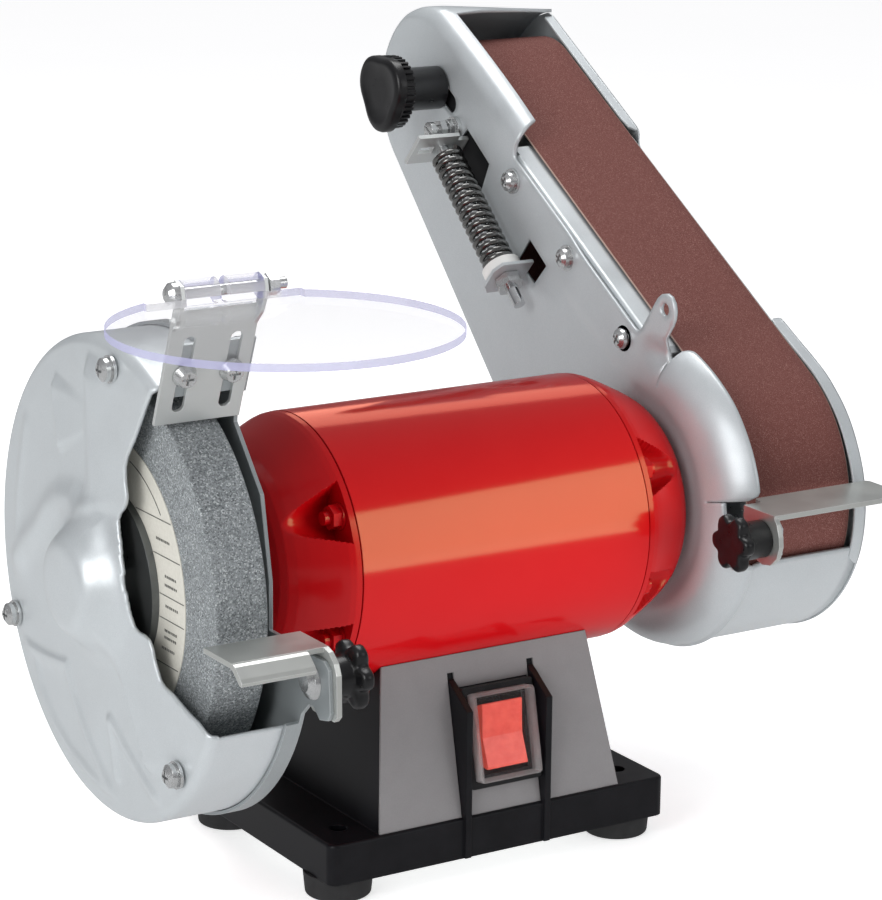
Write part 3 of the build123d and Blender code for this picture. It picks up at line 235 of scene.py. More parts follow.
# name: colour, (roughness, its swing), metallic, (colour swing, patch scale),
# (grain scale, bump strength, bump depth), bevel radius; then
# coat=(weight, roughness), edge_highlight=(edge radius, highlight colour, amount): a painted
# highlight on rounded edges
SOLIDS = {
    "silver_paint": (((0.56, 0.60, 0.62), (0.40, 0.08), 0.4, (0.03, 60), (4200, 0.22, 0.02), 0.45),
                     dict(coat=(0.35, 0.22), flecks=0.16, edge_highlight=(0.5, (0.86, 0.89, 0.9), 0.5))),
    "silver_dark": (((0.33, 0.36, 0.37), (0.36, 0.08), 0.5, (0.05, 60), (4200, 0.22, 0.02), 0.45),
                    dict(coat=(0.35, 0.2), flecks=0.14, edge_highlight=(0.5, (0.82, 0.85, 0.86), 0.5))),
    "red_paint": (((0.47, 0.0, 0.003), (0.6, 0.01), 0.0, (0.015, 30), (900, 0.03, 0.02), 0.5),
                  dict(coat=(0.6, 0.12), specular=0.05)),
    "bell_red": (((0.42, 0.0, 0.003), (0.6, 0.01), 0.0, (0.02, 30), (900, 0.03, 0.02), 0.0),
                 dict(coat=(0.45, 0.16), specular=0.05)),
    "black_plastic": (((0.008, 0.008, 0.009), (0.34, 0.04), 0.0, (0.25, 200),
                       (2600, 0.12, 0.02), 0.6), dict(specular=0.32)),
    "base_black": (((0.006, 0.006, 0.008), (0.34, 0.03), 0.0, (0.2, 90),
                    (1600, 0.07, 0.03), 0.8), dict(specular=0.2)),
    "knob_black": (((0.007, 0.007, 0.008), (0.30, 0.03), 0.0, (0.25, 200),
                    (2200, 0.05, 0.02), 0.0), dict(specular=0.4)),
    "rubber": (((0.018, 0.018, 0.019), (0.7, 0.08), 0.0, (0.25, 260),
                (1500, 0.3, 0.05), 0.5), {}),
    # painted light: grey for the black base's front face where it catches the light
    "grey_panel": (((0.255, 0.248, 0.252), (0.45, 0.08), 0.0, (0.03, 140),
                    (2400, 0.12, 0.02), 0.5), dict(flecks=0.05)),
    "zinc": (ZINC, ZINC_HIGHLIGHT),
    "zinc_rest": (((0.56, 0.575, 0.55), (0.33, 0.04), 0.75, (0.04, 50), (2600, 0.07, 0.01), 0.35),
                  dict(edge_highlight=(0.45, (0.95, 0.96, 0.95), 0.75))),
    "steel": (((0.66, 0.67, 0.68), (0.16, 0.05), 1.0, (0.08, 260), (1800, 0.08, 0.01), 0.2), {}),
    "screw_zinc": (((0.66, 0.67, 0.67), (0.24, 0.04), 0.9, (0.06, 400),
                    (1800, 0.08, 0.01), 0.25), {}),
    "spring_steel": (((0.15, 0.15, 0.145), (0.18, 0.05), 0.9, (0.2, 700),
                      (2500, 0.1, 0.01), 0.0), dict(coat=(0.5, 0.08))),
    "aluminium": (((0.68, 0.69, 0.70), (0.3, 0.08), 1.0, (0.06, 300),
                   (2200, 0.12, 0.02), 0.3), {}),
    "copper": (((0.55, 0.20, 0.07), (0.3, 0.08), 1.0, (0.12, 300), (1500, 0.4, 0.08), 0.0), {}),
    "lamination": (((0.22, 0.22, 0.23), (0.45, 0.08), 0.8, (0.12, 200),
                    (900, 0.3, 0.05), 0.2), dict(stretch=(30, 1, 1))),
    "flange_steel": (((0.16, 0.17, 0.17), (0.35, 0.08), 0.8, (0.1, 120),
                      (1800, 0.1, 0.02), 0.3), {}),
    "white_plastic": (((0.78, 0.78, 0.76), (0.4, 0.08), 0.0, (0.03, 200),
                       (1500, 0.1, 0.02), 0.4), {}),
    "cable_black": (((0.02, 0.02, 0.021), (0.5, 0.08), 0.0, (0.2, 300),
                     (1800, 0.2, 0.03), 0.0), {}),
    "label_ink": (((0.14, 0.14, 0.13), (0.6, 0.08), 0.0, (0.2, 900), (2500, 0.1, 0.01), 0.0), {}),
}
for name, (look, extras) in SOLIDS.items():
    solid(name, *look, **extras)


def carriage_zinc_painted_shade():
    """Zinc that turns to matt black beyond x = 94 mm, inside the arm housing: painted shade."""
    shader, surface = solid("carriage_zinc_painted_shade", *ZINC, **ZINC_HIGHLIGHT)
    place = shader.add("NewGeometry").outputs["Position"]
    x = shader.add("SeparateXYZ", {0: place}).outputs[0]

    def across(left, right):
        return shader.remap(x, span=(93.2 * MM, 94.6 * MM), to=(left, right))

    zinc = surface.inputs["Base Color"].links[0].from_socket
    # painted shade: black and non-metallic on the part inside the arm housing
    black = (0.012, 0.012, 0.013)
    shader.feed(surface, "Base Color", shader.mix(across(0.0, 1.0), zinc, black))
    shader.feed(surface, "Metallic", across(0.7, 0.0))
    shader.feed(surface, "Specular IOR Level", across(0.5, 0.1))


# ----------------------------------------------------------- special materials
def abrasive_wheel():
    shader = new_material("abrasive_wheel")
    vector = shader.coords()
    shade, height = shader.grains(vector, scale=2000.0)
    tone = shader.ramp(shade, [
        (0.0, (0.066, 0.072, 0.077)), (0.18, (0.148, 0.162, 0.168)),
        (0.55, (0.254, 0.275, 0.283)), (0.86, (0.345, 0.37, 0.378)),
        (0.93, (0.54, 0.566, 0.574))])
    pits = shader.noise(vector, scale=900.0, detail=3.0, roughness=0.7)
    tone = shader.mix(shader.remap(pits, span=(0.42, 0.66), to=(0.0, 0.55)),
                      tone, (0.18, 0.197, 0.205))
    big = shader.noise(vector, scale=45.0)
    tone = shader.mix(shader.remap(big, span=(0.35, 0.65), to=(0.0, 0.28)),
                      tone, (0.254, 0.275, 0.283))
    shader.surface({
        "Base Color": tone, "Roughness": 0.75, "Specular IOR Level": 0.35,
        "Normal": shader.bump(shader.math("ADD", height, pits), strength=0.55, distance=0.12,
                              normal=shader.bevel(1.2))})


def abrasive_belt():
    shader = new_material("abrasive_belt")
    vector = shader.coords()
    shade, height = shader.grains(vector, scale=5200.0)
    tone = shader.ramp(shade, [
        (0.0, (0.11, 0.033, 0.027)), (0.35, (0.165, 0.055, 0.046)),
        (0.85, (0.21, 0.078, 0.066)), (0.97, (0.38, 0.20, 0.17))])
    big = shader.noise(vector, scale=30.0)
    tone = shader.mix(shader.remap(big, span=(0.35, 0.65), to=(0.0, 0.35)),
                      tone, (0.185, 0.064, 0.054))
    # pale cloth along both cut edges
    x = shader.add("SeparateXYZ", {0: vector}).outputs[0]
    from_middle = shader.math("ABSOLUTE", shader.math("SUBTRACT", x, BELT_X * MM))
    cloth = shader.remap(from_middle, span=(24.55 * MM, 24.9 * MM), to=(0.0, 0.85))
    shader.surface({
        "Base Color": shader.mix(cloth, tone, (0.52, 0.38, 0.32)),
        "Roughness": 0.8, "Specular IOR Level": 0.3,
        "Normal": shader.bump(height, strength=0.35, distance=0.06)})


def label_paper():
    shader = new_material("label_paper")
    fibre = shader.noise(shader.coords(), scale=900.0, detail=5.0, roughness=0.7)
    shader.surface({
        "Base Color": shader.two_tone(fibre, (0.60, 0.585, 0.52), (0.68, 0.665, 0.60)),
        "Roughness": 0.6, "Normal": shader.bump(fibre, strength=0.1, distance=0.02)})


def rocker_plastic():
    shader = new_material("red_plastic")
    cloud = shader.noise(shader.coords(), scale=260.0)
    shader.surface({
        "Base Color": shader.two_tone(cloud, (0.80, 0.06, 0.04), (0.95, 0.12, 0.08)),
        "Roughness": 0.28, "Coat Weight": 0.5,
        "Subsurface Weight": 0.25, "Subsurface Radius": (0.005, 0.001, 0.001),
        # the emission is a painted glow brightening the rocker
        "Emission Color": (1.0, 0.10, 0.06), "Emission Strength": 0.22,
        "Normal": shader.bump(cloud, strength=0.06, distance=0.05, normal=shader.bevel(0.5))})


def clear_plastic(name, tint, edge, axis, haze, edge_share, rim=None):
    """Clear sheet with faces along axis, tinted where it is seen through its edge.

    rim is (centre, radius in metres): the edge tint is kept beyond that radius only.
    """
    shader = new_material(name)
    vector = shader.coords()
    ripple = shader.bump(shader.noise(vector, scale=60.0, detail=3.0, roughness=0.5),
                         strength=0.12, distance=0.15)
    clear = shader.add("BsdfTransparent", {0: tint})
    gloss = shader.add("BsdfGlossy", {"Roughness": 0.03, "Color": (1, 1, 1), "Normal": ripple})
    fresnel = shader.add("Fresnel", {"IOR": 1.46}).outputs[0]
    face = shader.mix_shaders(shader.remap(fresnel, span=(0.0, 1.0), to=(0.005, 0.2)),
                              clear.outputs[0], gloss.outputs[0])
    tone = shader.two_tone(shader.noise(vector, scale=300.0), tuple(c * 0.96 for c in edge), edge)
    if rim:
        centre, radius = rim
        distance = shader.add("VectorMath", {0: vector, 1: centre}, operation="DISTANCE")
        outside = shader.remap(distance.outputs["Value"], span=(radius * 0.965, radius * 0.985),
                               to=(0.0, 1.0))
        tone = shader.mix(outside, (0.8, 0.8, 0.83), tone)
    milky = shader.mix_shaders(0.5, shader.add("BsdfDiffuse", {0: tone}).outputs[0],
                               shader.add("BsdfTranslucent", {0: tone}).outputs[0])
    normal = shader.add("VectorTransform", {0: shader.add("NewGeometry").outputs["Normal"]},
                        vector_type="NORMAL", convert_from="WORLD", convert_to="OBJECT")
    facing = shader.math("ABSOLUTE", shader.dot(normal.outputs[0], axis))
    side = shader.remap(facing, span=(0.35, 0.75), to=(1.0, 0.0))
    share = shader.math("ADD", shader.math("MULTIPLY", side, edge_share), haze)
    shader.add("OutputMaterial", {0: shader.mix_shaders(share, face, milky)})


carriage_zinc_painted_shade()
abrasive_wheel()
abrasive_belt()
label_paper()
rocker_plastic()
shield_centre = (nodes["eye_shield"].matrix_world.inverted()
                 @ Vector(shaft_point(-128.6, -114.6, 111.9)))
clear_plastic("shield_clear", tint=(0.985, 0.985, 0.988), edge=(0.56, 0.56, 0.84),
              axis=(0, 0, 1), haze=0.03, edge_share=0.62, rim=(tuple(shield_centre), 0.058))
clear_plastic("switch_clear", tint=(0.975, 0.975, 0.975), edge=(0.80, 0.80, 0.80),
              axis=(0, -1, 0.2), haze=0.02, edge_share=0.34)

# the CAD pieces of each material; all others are screw_zinc
PIECES = {
    "silver_dark": "wheel_guard_back",
    "silver_paint": "wheel_guard_cover arm_housing arm_side_cover platen",
    "red_paint": "motor_tube",
    "bell_red": "end_bell_left end_bell_right tie_bolts",
    "base_black": "base_housing",
    "zinc": "base_bottom_plate shield_bracket arm_clamp_ring",
    "rubber": "rubber_feet",
    # front_panel is grey as painted light on a black face
    "grey_panel": "front_panel",
    "black_plastic": "switch_frame cable_gland",
    "switch_clear": "switch_cover",
    "red_plastic": "switch_rocker",
    "knob_black": "wheel_rest_knob belt_rest_knob tracking_knob",
    "zinc_rest": "wheel_rest belt_rest",
    "shield_clear": "eye_shield",
    "abrasive_wheel": "grinding_wheel",
    "label_paper": "wheel_labels",
    "flange_steel": "wheel_flanges",
    "abrasive_belt": "sanding_belt",
    "carriage_zinc_painted_shade": "tension_carriage",
    "steel": "tension_rod",
    "spring_steel": "tension_spring",
    "white_plastic": "spring_washer run_capacitor",
    "aluminium": "drive_wheel idler_roller",
    "copper": "idler_bearings stator_windings",
    "lamination": "stator_core rotor_core",
    "cable_black": "mains_cable",
}
MATERIAL_OF = {piece: name for name, pieces in PIECES.items() for piece in pieces.split()}
for name, node in nodes.items():
    node.data.materials.clear()
    node.data.materials.append(MATERIALS[MATERIAL_OF.get(name, "screw_zinc")])


# ---------------------------------------------------------------- mesh helpers
def add_mesh(name, verts, faces, material, body, crease):
    """Cleaned, smooth shaded mesh riding on a body; edges over crease degrees stay sharp."""
    mesh = bpy.data.meshes.new(name)
    mesh.from_pydata([tuple(map(float, v)) for v in verts], [],
                     [tuple(map(int, f)) for f in faces])
    mesh.validate()
    bm = bmesh.new()
    bm.from_mesh(mesh)
    bmesh.ops.remove_doubles(bm, verts=bm.verts, dist=1e-6)
    bmesh.ops.dissolve_degenerate(bm, edges=bm.edges, dist=1e-7)
    loose = [v for v in bm.verts if not v.link_faces]
    if loose:
        bmesh.ops.delete(bm, geom=loose, context="VERTS")
    bmesh.ops.recalc_face_normals(bm, faces=bm.faces)
    bm.to_mesh(mesh)
    bm.free()
    piece = bpy.data.objects.new(name, mesh)
    scene.collection.objects.link(piece)
    mesh.materials.append(MATERIALS[material])
    for polygon in mesh.polygons:
        polygon.use_smooth = True
    mesh.set_sharp_from_angle(angle=math.radians(crease))
    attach(piece, body)
    return piece


def thicken(piece, thickness):
    sheet = piece.modifiers.new("sheet", "SOLIDIFY")
    sheet.thickness = thickness * MM
    sheet.offset = -1.0
    sheet.use_even_offset = False


def grid_faces(rows, columns, closed_rows=False, closed_columns=False):
    """Quads of a grid of vertices stored row by row."""
    faces = []
    for i in range(rows if closed_rows else rows - 1):
        below, above = i * columns, (i + 1) % rows * columns
        for j in range(columns if closed_columns else columns - 1):
            k = (j + 1) % columns
            faces.append((below + j, below + k, above + k, above + j))
    return faces


def add_tube(verts, faces, rings):
    """Add a solid through closed rings of equal point count, capped at both ends."""
    base, size = len(verts), len(rings[0])
    for ring in rings:
        verts += ring
    faces += [tuple(base + i for i in face)
              for face in grid_faces(len(rings), size, closed_columns=True)]
    faces.append(tuple(range(base, base + size)))
    faces.append(tuple(range(len(verts) - 1, len(verts) - size - 1, -1)))


def on_circle(radius, angle, centre=(0.0, 0.0)):
    return (centre[0] + radius * math.cos(angle), centre[1] + radius * math.sin(angle))


def arc(radius, start, end, steps, centre=(0.0, 0.0)):
    return [on_circle(radius, start + (end - start) * i / steps, centre)
            for i in range(steps + 1)]


def circle(radius, count, centre=(0.0, 0.0)):
    return arc(radius, 0.0, 2 * math.pi, count, centre)[:-1]


def between(start, end, share):
    return tuple(a + (b - a) * share for a, b in zip(start, end))


def tangent_angle(wheel_radius, head_radius, head, side=-1):
    """Where a common tangent of the drive wheel's and the head's circles touches them."""
    return (math.atan2(head[1], head[0])
            + side * math.acos((wheel_radius - head_radius) / math.hypot(*head)))


def ease(t):
    t = np.clip(t, 0.0, 1.0)
    return t * t * (3 - 2 * t)


def segments(points, line):
    """For each segment: start, direction, and each point's share along it and distance."""
    line = np.array(line, float)
    for start, end in zip(line, line[1:]):
        step = end - start
        share = np.clip(((points - start) @ step) / (step @ step), 0, 1)
        away = points - (start + share[:, None] * step)
        yield start, step, share, np.hypot(away[:, 0], away[:, 1])


def along(points, line):
    """Signed distance from a polyline (positive on its left) and share of its length."""
    best = np.full(len(points), 1e9)
    length = np.zeros(len(points))
    sign = np.ones(len(points))
    total = 0.0
    for start, step, share, distance in segments(points, line):
        offset = points - start
        cross = step[0] * offset[:, 1] - step[1] * offset[:, 0]
        nearer = distance < best
        best = np.where(nearer, distance, best)
        length = np.where(nearer, total + share * np.hypot(*step), length)
        sign = np.where(nearer, np.where(cross >= 0, 1.0, -1.0), sign)
        total += np.hypot(*step)
    return best * sign, length / total


def inside(points, outline):
    """Which of the points lie inside a closed outline."""
    x, y = points[:, 0], points[:, 1]
    result = np.zeros(len(points), bool)
    for (x0, y0), (x1, y1) in zip(outline, outline[1:] + outline[:1]):
        if y1 != y0:
            crosses = (y0 > y) != (y1 > y)
            result ^= crosses & (x < (x1 - x0) * (y - y0) / (y1 - y0) + x0)
    return result


def snap(points, line, limit):
    """Points closer than limit to a polyline, moved onto it."""
    moved = points.copy()
    best = np.full(len(points), limit)
    for start, step, share, distance in segments(points, line):
        nearer = distance < best
        moved[nearer] = (start + share[:, None] * step)[nearer]
        best = np.where(nearer, distance, best)
    return moved


# ------------------------------------------------- pressed cover of the wheel
# Lines are (y, z) in the shaft frame.
COVER_X, COVER_RADIUS = -140.0, 88.6
COVER_FILLET = 4.2
COVER_STEPS = 432
# (radius, x from COVER_X): the face, bulging outward (-X) at its middle
COVER_PROFILE = [
    (0, -17.0), (12.5, -17.0), (15.2, -16.5), (17.5, -15.2), (19.6, -12.6), (21.8, -9.6),
    (24.2, -6.9), (27.0, -5.0), (31.0, -3.5), (38, -2.8), (60.0, -1.5), (78.0, -0.6), (84.6, 0.0)]
# the part cut away, towards the front
COVER_CUT = [
    (-110.0, 158.0), (-46.4, 82.0), (-41.8, 78.5), (-39.7, 76.6), (-36.3, 70.2), (-30.6, 59.9),
    (-24.8, 51.0), (-23.8, 47.4), (-24.4, 42.0), (-25.9, 37.2), (-25.5, 34.4), (-23.4, 31.8),
    (-20.6, 29.6), (-19.4, 27.4), (-20.6, 24.0), (-22.9, 19.4), (-26.3, 10.4), (-26.9, 6.0),
    (-28.5, 1.9), (-30.3, -4.6), (-31.8, -8.4), (-34.4, -9.7), (-38.0, -9.9), (-41.4, -11.0),
    (-43.4, -14.0), (-44.6, -17.8), (-48.1, -23.9), (-50.6, -25.4), (-56.4, -26.6),
    (-65.1, -29.9), (-72.7, -31.9), (-80.0, -35.4), (-84, -35.8), (-130.0, -35.8)]
# height, fall-off length past the crest, foot line, crest line (both run downward)
FACETS = [
    (3.2, 12.0,
     [(9.4, 84), (10.2, 70.8), (10.4, 58.2), (9.6, 42.6), (8.4, 30.3), (6.4, 22.0)],
     [(7.7, 84), (2.5, 69.2), (-1.0, 54.3), (-3.9, 39.2), (-4.6, 28.7), (-5.0, 22.0)]),
    (2.4, 11.0,
     [(36, 70), (37.4, 60.0), (37.4, 55.7), (35.0, 46.6), (31.0, 39.0)],
     [(34.5, 70), (32.8, 60.0), (29.8, 53.1), (27.1, 47.5), (27.0, 40)]),
    (2.8, 9.0,
     [(-3.0, -19.0), (-13.1, -28), (-22.8, -37), (-32.4, -49.9), (-38.2, -63)],
     [(-18.0, -14.2), (-24.8, -28.6), (-31, -42.4), (-36.6, -55), (-40.0, -63)]),
]
# height, width, skew of the width towards the line's left, line
RIDGES = [
    (2.6, 5.5, 0.0, [(78, -17), (63.9, -2.8), (48.1, 8.4), (37.7, 18.6), (27.7, 24.3),
                     (15.1, 26.8), (2.0, 26.5), (-9.0, 22.5), (-16.0, 15.0)]),
    (1.4, 2.6, 0.35, [(72, -40), (60.6, -41.5), (46, -41.0), (33, -39.4), (26.6, -38.4),
                      (20.9, -49.8), (10.8, -63), (-1, -73.9), (-13.1, -83.2)]),
    (1.5, 2.2, -0.3, [(58.4, -43), (52.2, -55.6), (41.6, -65.8), (27.3, -73), (11.4, -77),
                      (-6.3, -79.8)]),
    (1.3, 2.2, 0.0, [(-7.5, -47.0), (-9.3, -58.9), (-11.4, -74.3)]),
    (1.4, 2.4, 0.3, [(-7.5, -47.0), (-18.8, -56.2), (-31.9, -64.2), (-46.8, -73.6)]),
    (0.8, 3.0, 0.0, [(59.7, 50), (64.5, 34.6), (69.2, 15.6), (71.7, -4.2)]),
]


def cover_relief(points):
    """Outward relief of the pressed face at (y, z) points."""
    relief = np.zeros(len(points))
    for height, decay, foot, crest in FACETS:
        from_foot, share = along(points, foot)
        from_crest, _ = along(points, crest)
        taper = ease(share / 0.16) * ease((1 - share) / 0.10)
        rise = np.where(from_crest <= 0, np.exp(-np.abs(from_crest) / decay), 0.0)
        span = np.abs(from_foot) / (np.abs(from_foot) + np.abs(from_crest) + 1e-6)
        rise = np.where((from_foot < 0) & (from_crest > 0), ease(span), rise)
        relief = relief + height * rise * taper
    for height, width, skew, line in RIDGES:
        distance, share = along(points, line)
        taper = ease(share / 0.12) * ease((1 - share) / 0.12)
        widths = np.where(distance > 0, width * (1 + skew), width * (1 - skew))
        relief = relief + height * np.exp(-(distance / widths) ** 2) * taper
    # fades out at the rim and on the raised middle
    radius = np.hypot(points[:, 0], points[:, 1])
    return relief * (1 - ease((radius - 79.0) / 6.5)) * ease((radius - 17.0) / 8.0)


def cover_gone(points, x):
    """Which points are cut away from the cover."""
    gone = inside(points, COVER_CUT)
    # the rolled wall is open over the front of the wheel
    angle = np.degrees(np.arctan2(-points[:, 0], points[:, 1]))
    gone |= (x > 0.9) & (angle > 30.6) & (angle < 113.0)
    # clear of the shield bracket where it stands in front of the cover
    offset = points - (-40.0, 65.8)
    run = offset[:, 0] * -0.364 + offset[:, 1] * 0.9314
    out = offset[:, 0] * -0.9314 + offset[:, 1] * -0.364
    return gone | ((x > 1.6) & (run > 6.0) & (run < 40) & (out > -2.4))


def wheel_cover():
    face_radius = np.linspace(0.8, 84.6, 84)
    face_x = np.interp(face_radius, *zip(*COVER_PROFILE))
    for _ in range(3):
        face_x[1:-1] = (face_x[:-2] + face_x[1:-1] * 2 + face_x[2:]) / 4
    turn = np.arange(1, 9) * math.pi / 16
    wall_x = np.linspace(6.0, 33.4, 14)
    radius = np.concatenate([face_radius, COVER_RADIUS - COVER_FILLET * (1 - np.sin(turn)),
                             np.full(len(wall_x), COVER_RADIUS)])
    ring_x = np.concatenate([face_x, COVER_FILLET * (1 - np.cos(turn)), wall_x])
    theta = np.arange(COVER_STEPS) * 2 * math.pi / COVER_STEPS
    points = np.stack([np.outer(radius, np.sin(-theta)).ravel(),
                       np.outer(radius, np.cos(theta)).ravel()], 1)
    x = np.repeat(ring_x, COVER_STEPS)
    gone = cover_gone(points, x)
    faces = [quad for quad in grid_faces(len(radius), COVER_STEPS, closed_columns=True)
             if not gone[list(quad)].any()]
    # draw the ragged inner boundary onto the cut line
    uses = Counter(tuple(sorted(edge)) for quad in faces for edge in zip(quad, quad[1:] + quad[:1]))
    border = sorted({v for edge, count in uses.items() if count == 1 for v in edge
                     if ring_x[v // COVER_STEPS] < 3.4 and radius[v // COVER_STEPS] > 2})
    points[border] = snap(points[border], COVER_CUT[1:-1], limit=2.4)
    x = x - cover_relief(points) * (x < 1.0)
    verts = [shaft_point(COVER_X + x[i], *points[i]) for i in range(len(x))]
    # cap the middle
    centre = len(verts)
    verts.append(shaft_point(COVER_X + COVER_PROFILE[0][1], 0, 0))
    faces += [(j, centre, (j + 1) % COVER_STEPS) for j in range(COVER_STEPS)]
    piece = add_mesh("guard_cover_pressing", verts, faces, "silver_paint", "root", crease=50)
    thicken(piece, 1.1)
    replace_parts(piece, "wheel_guard_cover")


wheel_cover()

# ------------------------------------------------------------------- end bells
# (distance from the motor's middle, radius)
BELL_SHELL = [
    (62.45, 17.7), (62.45, 51.0), (62.9, 52.0), (65.2, 51.8), (65.45, 51.7), (67.2, 51.2),
    (70.0, 50.0), (75.0, 47.6), (80.0, 45.1), (84.0, 42.9), (87.0, 40.9), (89.2, 38.6),
    (90.8, 35.6), (91.8, 31.6), (92.3, 28.0)]
BELL_BORE = [(91.05, 9.3), (91.05, 17.7)]
LEFT_HUB = [(92.6, 26.0), (104.8, 26.0), (104.8, 9.3)]
RIGHT_HUB = [(92.6, 26.0), (92.7, 20.9), (94.5, 20.9), (94.5, 9.3)]
BELL_STEPS = 540
HOLLOW_ANGLES = (30.0, -30.0, 150.0, 210.0)     # from the front, upward
HOLLOW_START, HOLLOW_REACH, HOLLOW_RADIUS = 65.4, 48.6, 10.6
HOLLOW_BLEND = 2.6


def carve_hollow(radius, theta, start, share):
    """Radii of one ring with the hollow centred on angle start; share runs to 1 at its end."""
    hollow = (HOLLOW_RADIUS * (1 - share) ** 0.5 * 0.62 + HOLLOW_RADIUS * 0.38 * (1 - share))
    reach = HOLLOW_REACH - 3.6 * share
    turn = (theta - start + math.pi) % (2 * math.pi) - math.pi
    left = hollow * hollow - (reach * np.sin(turn)) ** 2
    depth = np.where(left > 0, reach * np.cos(turn) - np.sqrt(np.maximum(left, 0)),
                     reach * np.cos(turn) + 3.0 * np.sqrt(np.maximum(-left, 0)))
    near = np.abs(turn) < 1.2
    depth = np.where(near, depth, 999.0)
    mix = np.clip(0.5 + 0.5 * (depth - radius) / HOLLOW_BLEND, 0, 1)
    blended = depth * (1 - mix) + radius * mix - HOLLOW_BLEND * mix * (1 - mix)
    return np.where(near, np.minimum(blended, radius), radius)


def bell(side, name, node, hub, hollow_end):
    keys = BELL_SHELL + hub + BELL_BORE
    profile = [keys[0]]
    for start, end in zip(keys, keys[1:]):
        # the shell outside radius 30 is sampled finely
        count = max(1, int(math.dist(start, end) / 0.5)) if start[1] > 30 else 1
        profile += [between(start, end, i / count) for i in range(1, count + 1)]
    theta = np.arange(BELL_STEPS) * 2 * math.pi / BELL_STEPS
    verts = []
    for x, ring_radius in profile:
        radius = np.full(BELL_STEPS, ring_radius)
        share = (x - HOLLOW_START) / (hollow_end - HOLLOW_START)
        if ring_radius > 27.0 and x > 65.3 and share <= 1:
            for degrees in HOLLOW_ANGLES:
                angle = math.radians(degrees)
                start = math.atan2(-math.cos(angle), math.sin(angle))
                radius = carve_hollow(radius, theta, start, share)
        verts += [shaft_point(side * x, r * math.sin(t), r * math.cos(t))
                  for r, t in zip(radius, theta)]
    faces = grid_faces(len(profile), BELL_STEPS, closed_rows=True, closed_columns=True)
    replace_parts(add_mesh(name, verts, faces, "bell_red", "root", crease=42), node)


bell(-1, "bell_casting_left", "end_bell_left", LEFT_HUB, hollow_end=88.5)
bell(1, "bell_casting_right", "end_bell_right", RIGHT_HUB, hollow_end=87.0)

# -------------------------------------------------------------- tension spring
ROD_LENGTH = math.dist(ROD_FOOT, ROD_TOP)
ROD_UP, ROD_FWD = ((b - a) / ROD_LENGTH for a, b in zip(ROD_FOOT, ROD_TOP))


def rod_point(x, run, fwd):
    """Point beside the tension rod: x, run up the rod from its foot, fwd to its front."""
    return arm_point(x, ROD_FOOT[0] + ROD_UP * run - ROD_FWD * fwd,
                     ROD_FOOT[1] + ROD_FWD * run + ROD_UP * fwd)


def spring():
    turns, radius, wire = 16.2, 5.75, 1.28
    steps, wire_steps = int(turns * 28), 10
    start, end = 0.9 + wire, ROD_LENGTH - 0.1 - wire
    one, closed = 1.0 / turns, 0.72     # one turn's share; pitch of the closed end coils
    rings = []
    for i in range(steps + 1):
        k = i / steps
        angle = 2 * math.pi * turns * k
        if k < one:
            share = k * closed
        elif k > 1 - one:
            share = 1 - (1 - k) * closed
        else:
            share = one * closed + (k - one) / (1 - 2 * one) * (1 - 2 * one * closed)
        run = start + (end - start) * share
        ring = []
        for j in range(wire_steps):
            around = 2 * math.pi * j / wire_steps
            reach = radius + wire * math.cos(around)
            ring.append(rod_point(ROD_X + reach * math.cos(angle), run + wire * math.sin(around),
                                  reach * math.sin(angle)))
        rings.append(ring)
    verts, faces = [], []
    add_tube(verts, faces, rings)
    piece = add_mesh("tension_coil", verts, faces, "spring_steel", "belt_arm", crease=60)
    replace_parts(piece, "tension_spring")
    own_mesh(piece)


spring()

# ---------------------------------------------------------------- sanding belt
BELT_WHEEL_RADIUS, BELT_IDLER_RADIUS = 57.8, 29.4   # to the belt's outside
IDLER = (205.0, 29.0)
BELT_THICKNESS, BELT_CHAMFER = 0.6, 0.22


def belt_loop(inset):
    wheel, idler = BELT_WHEEL_RADIUS - inset, BELT_IDLER_RADIUS - inset
    front, back = (tangent_angle(wheel, idler, IDLER, side) for side in (1, -1))

    def run(start, end):
        return [between(start, end, i / 30) for i in range(1, 30)]

    return (arc(idler, front, back, 48, IDLER)
            + run(on_circle(idler, back, IDLER), on_circle(wheel, back))
            + arc(wheel, back, front - 2 * math.pi, 80)
            + run(on_circle(wheel, front), on_circle(idler, front, IDLER)))


def belt():
    left, right = BELT_X - BELT_WIDTH / 2, BELT_X + BELT_WIDTH / 2
    flat = BELT_WIDTH - 2 * BELT_CHAMFER
    # (x, share of the thickness inward)
    section = [(left, 1.0), (left, 0.25)]
    section += [(left + BELT_CHAMFER + flat * i / 8, 0.0) for i in range(9)]
    section += [(right, 0.25), (right, 1.0), (BELT_X, 1.0)]
    loops = list(zip(belt_loop(0.0), belt_loop(BELT_THICKNESS)))
    verts = [arm_point(x, *between(outer, inner, share))
             for outer, inner in loops for x, share in section]
    faces = grid_faces(len(loops), len(section), closed_rows=True, closed_columns=True)
    piece = add_mesh("abrasive_band", verts, faces, "abrasive_belt", "belt_arm", crease=60)
    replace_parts(piece, "sanding_belt")
    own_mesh(piece)


belt()


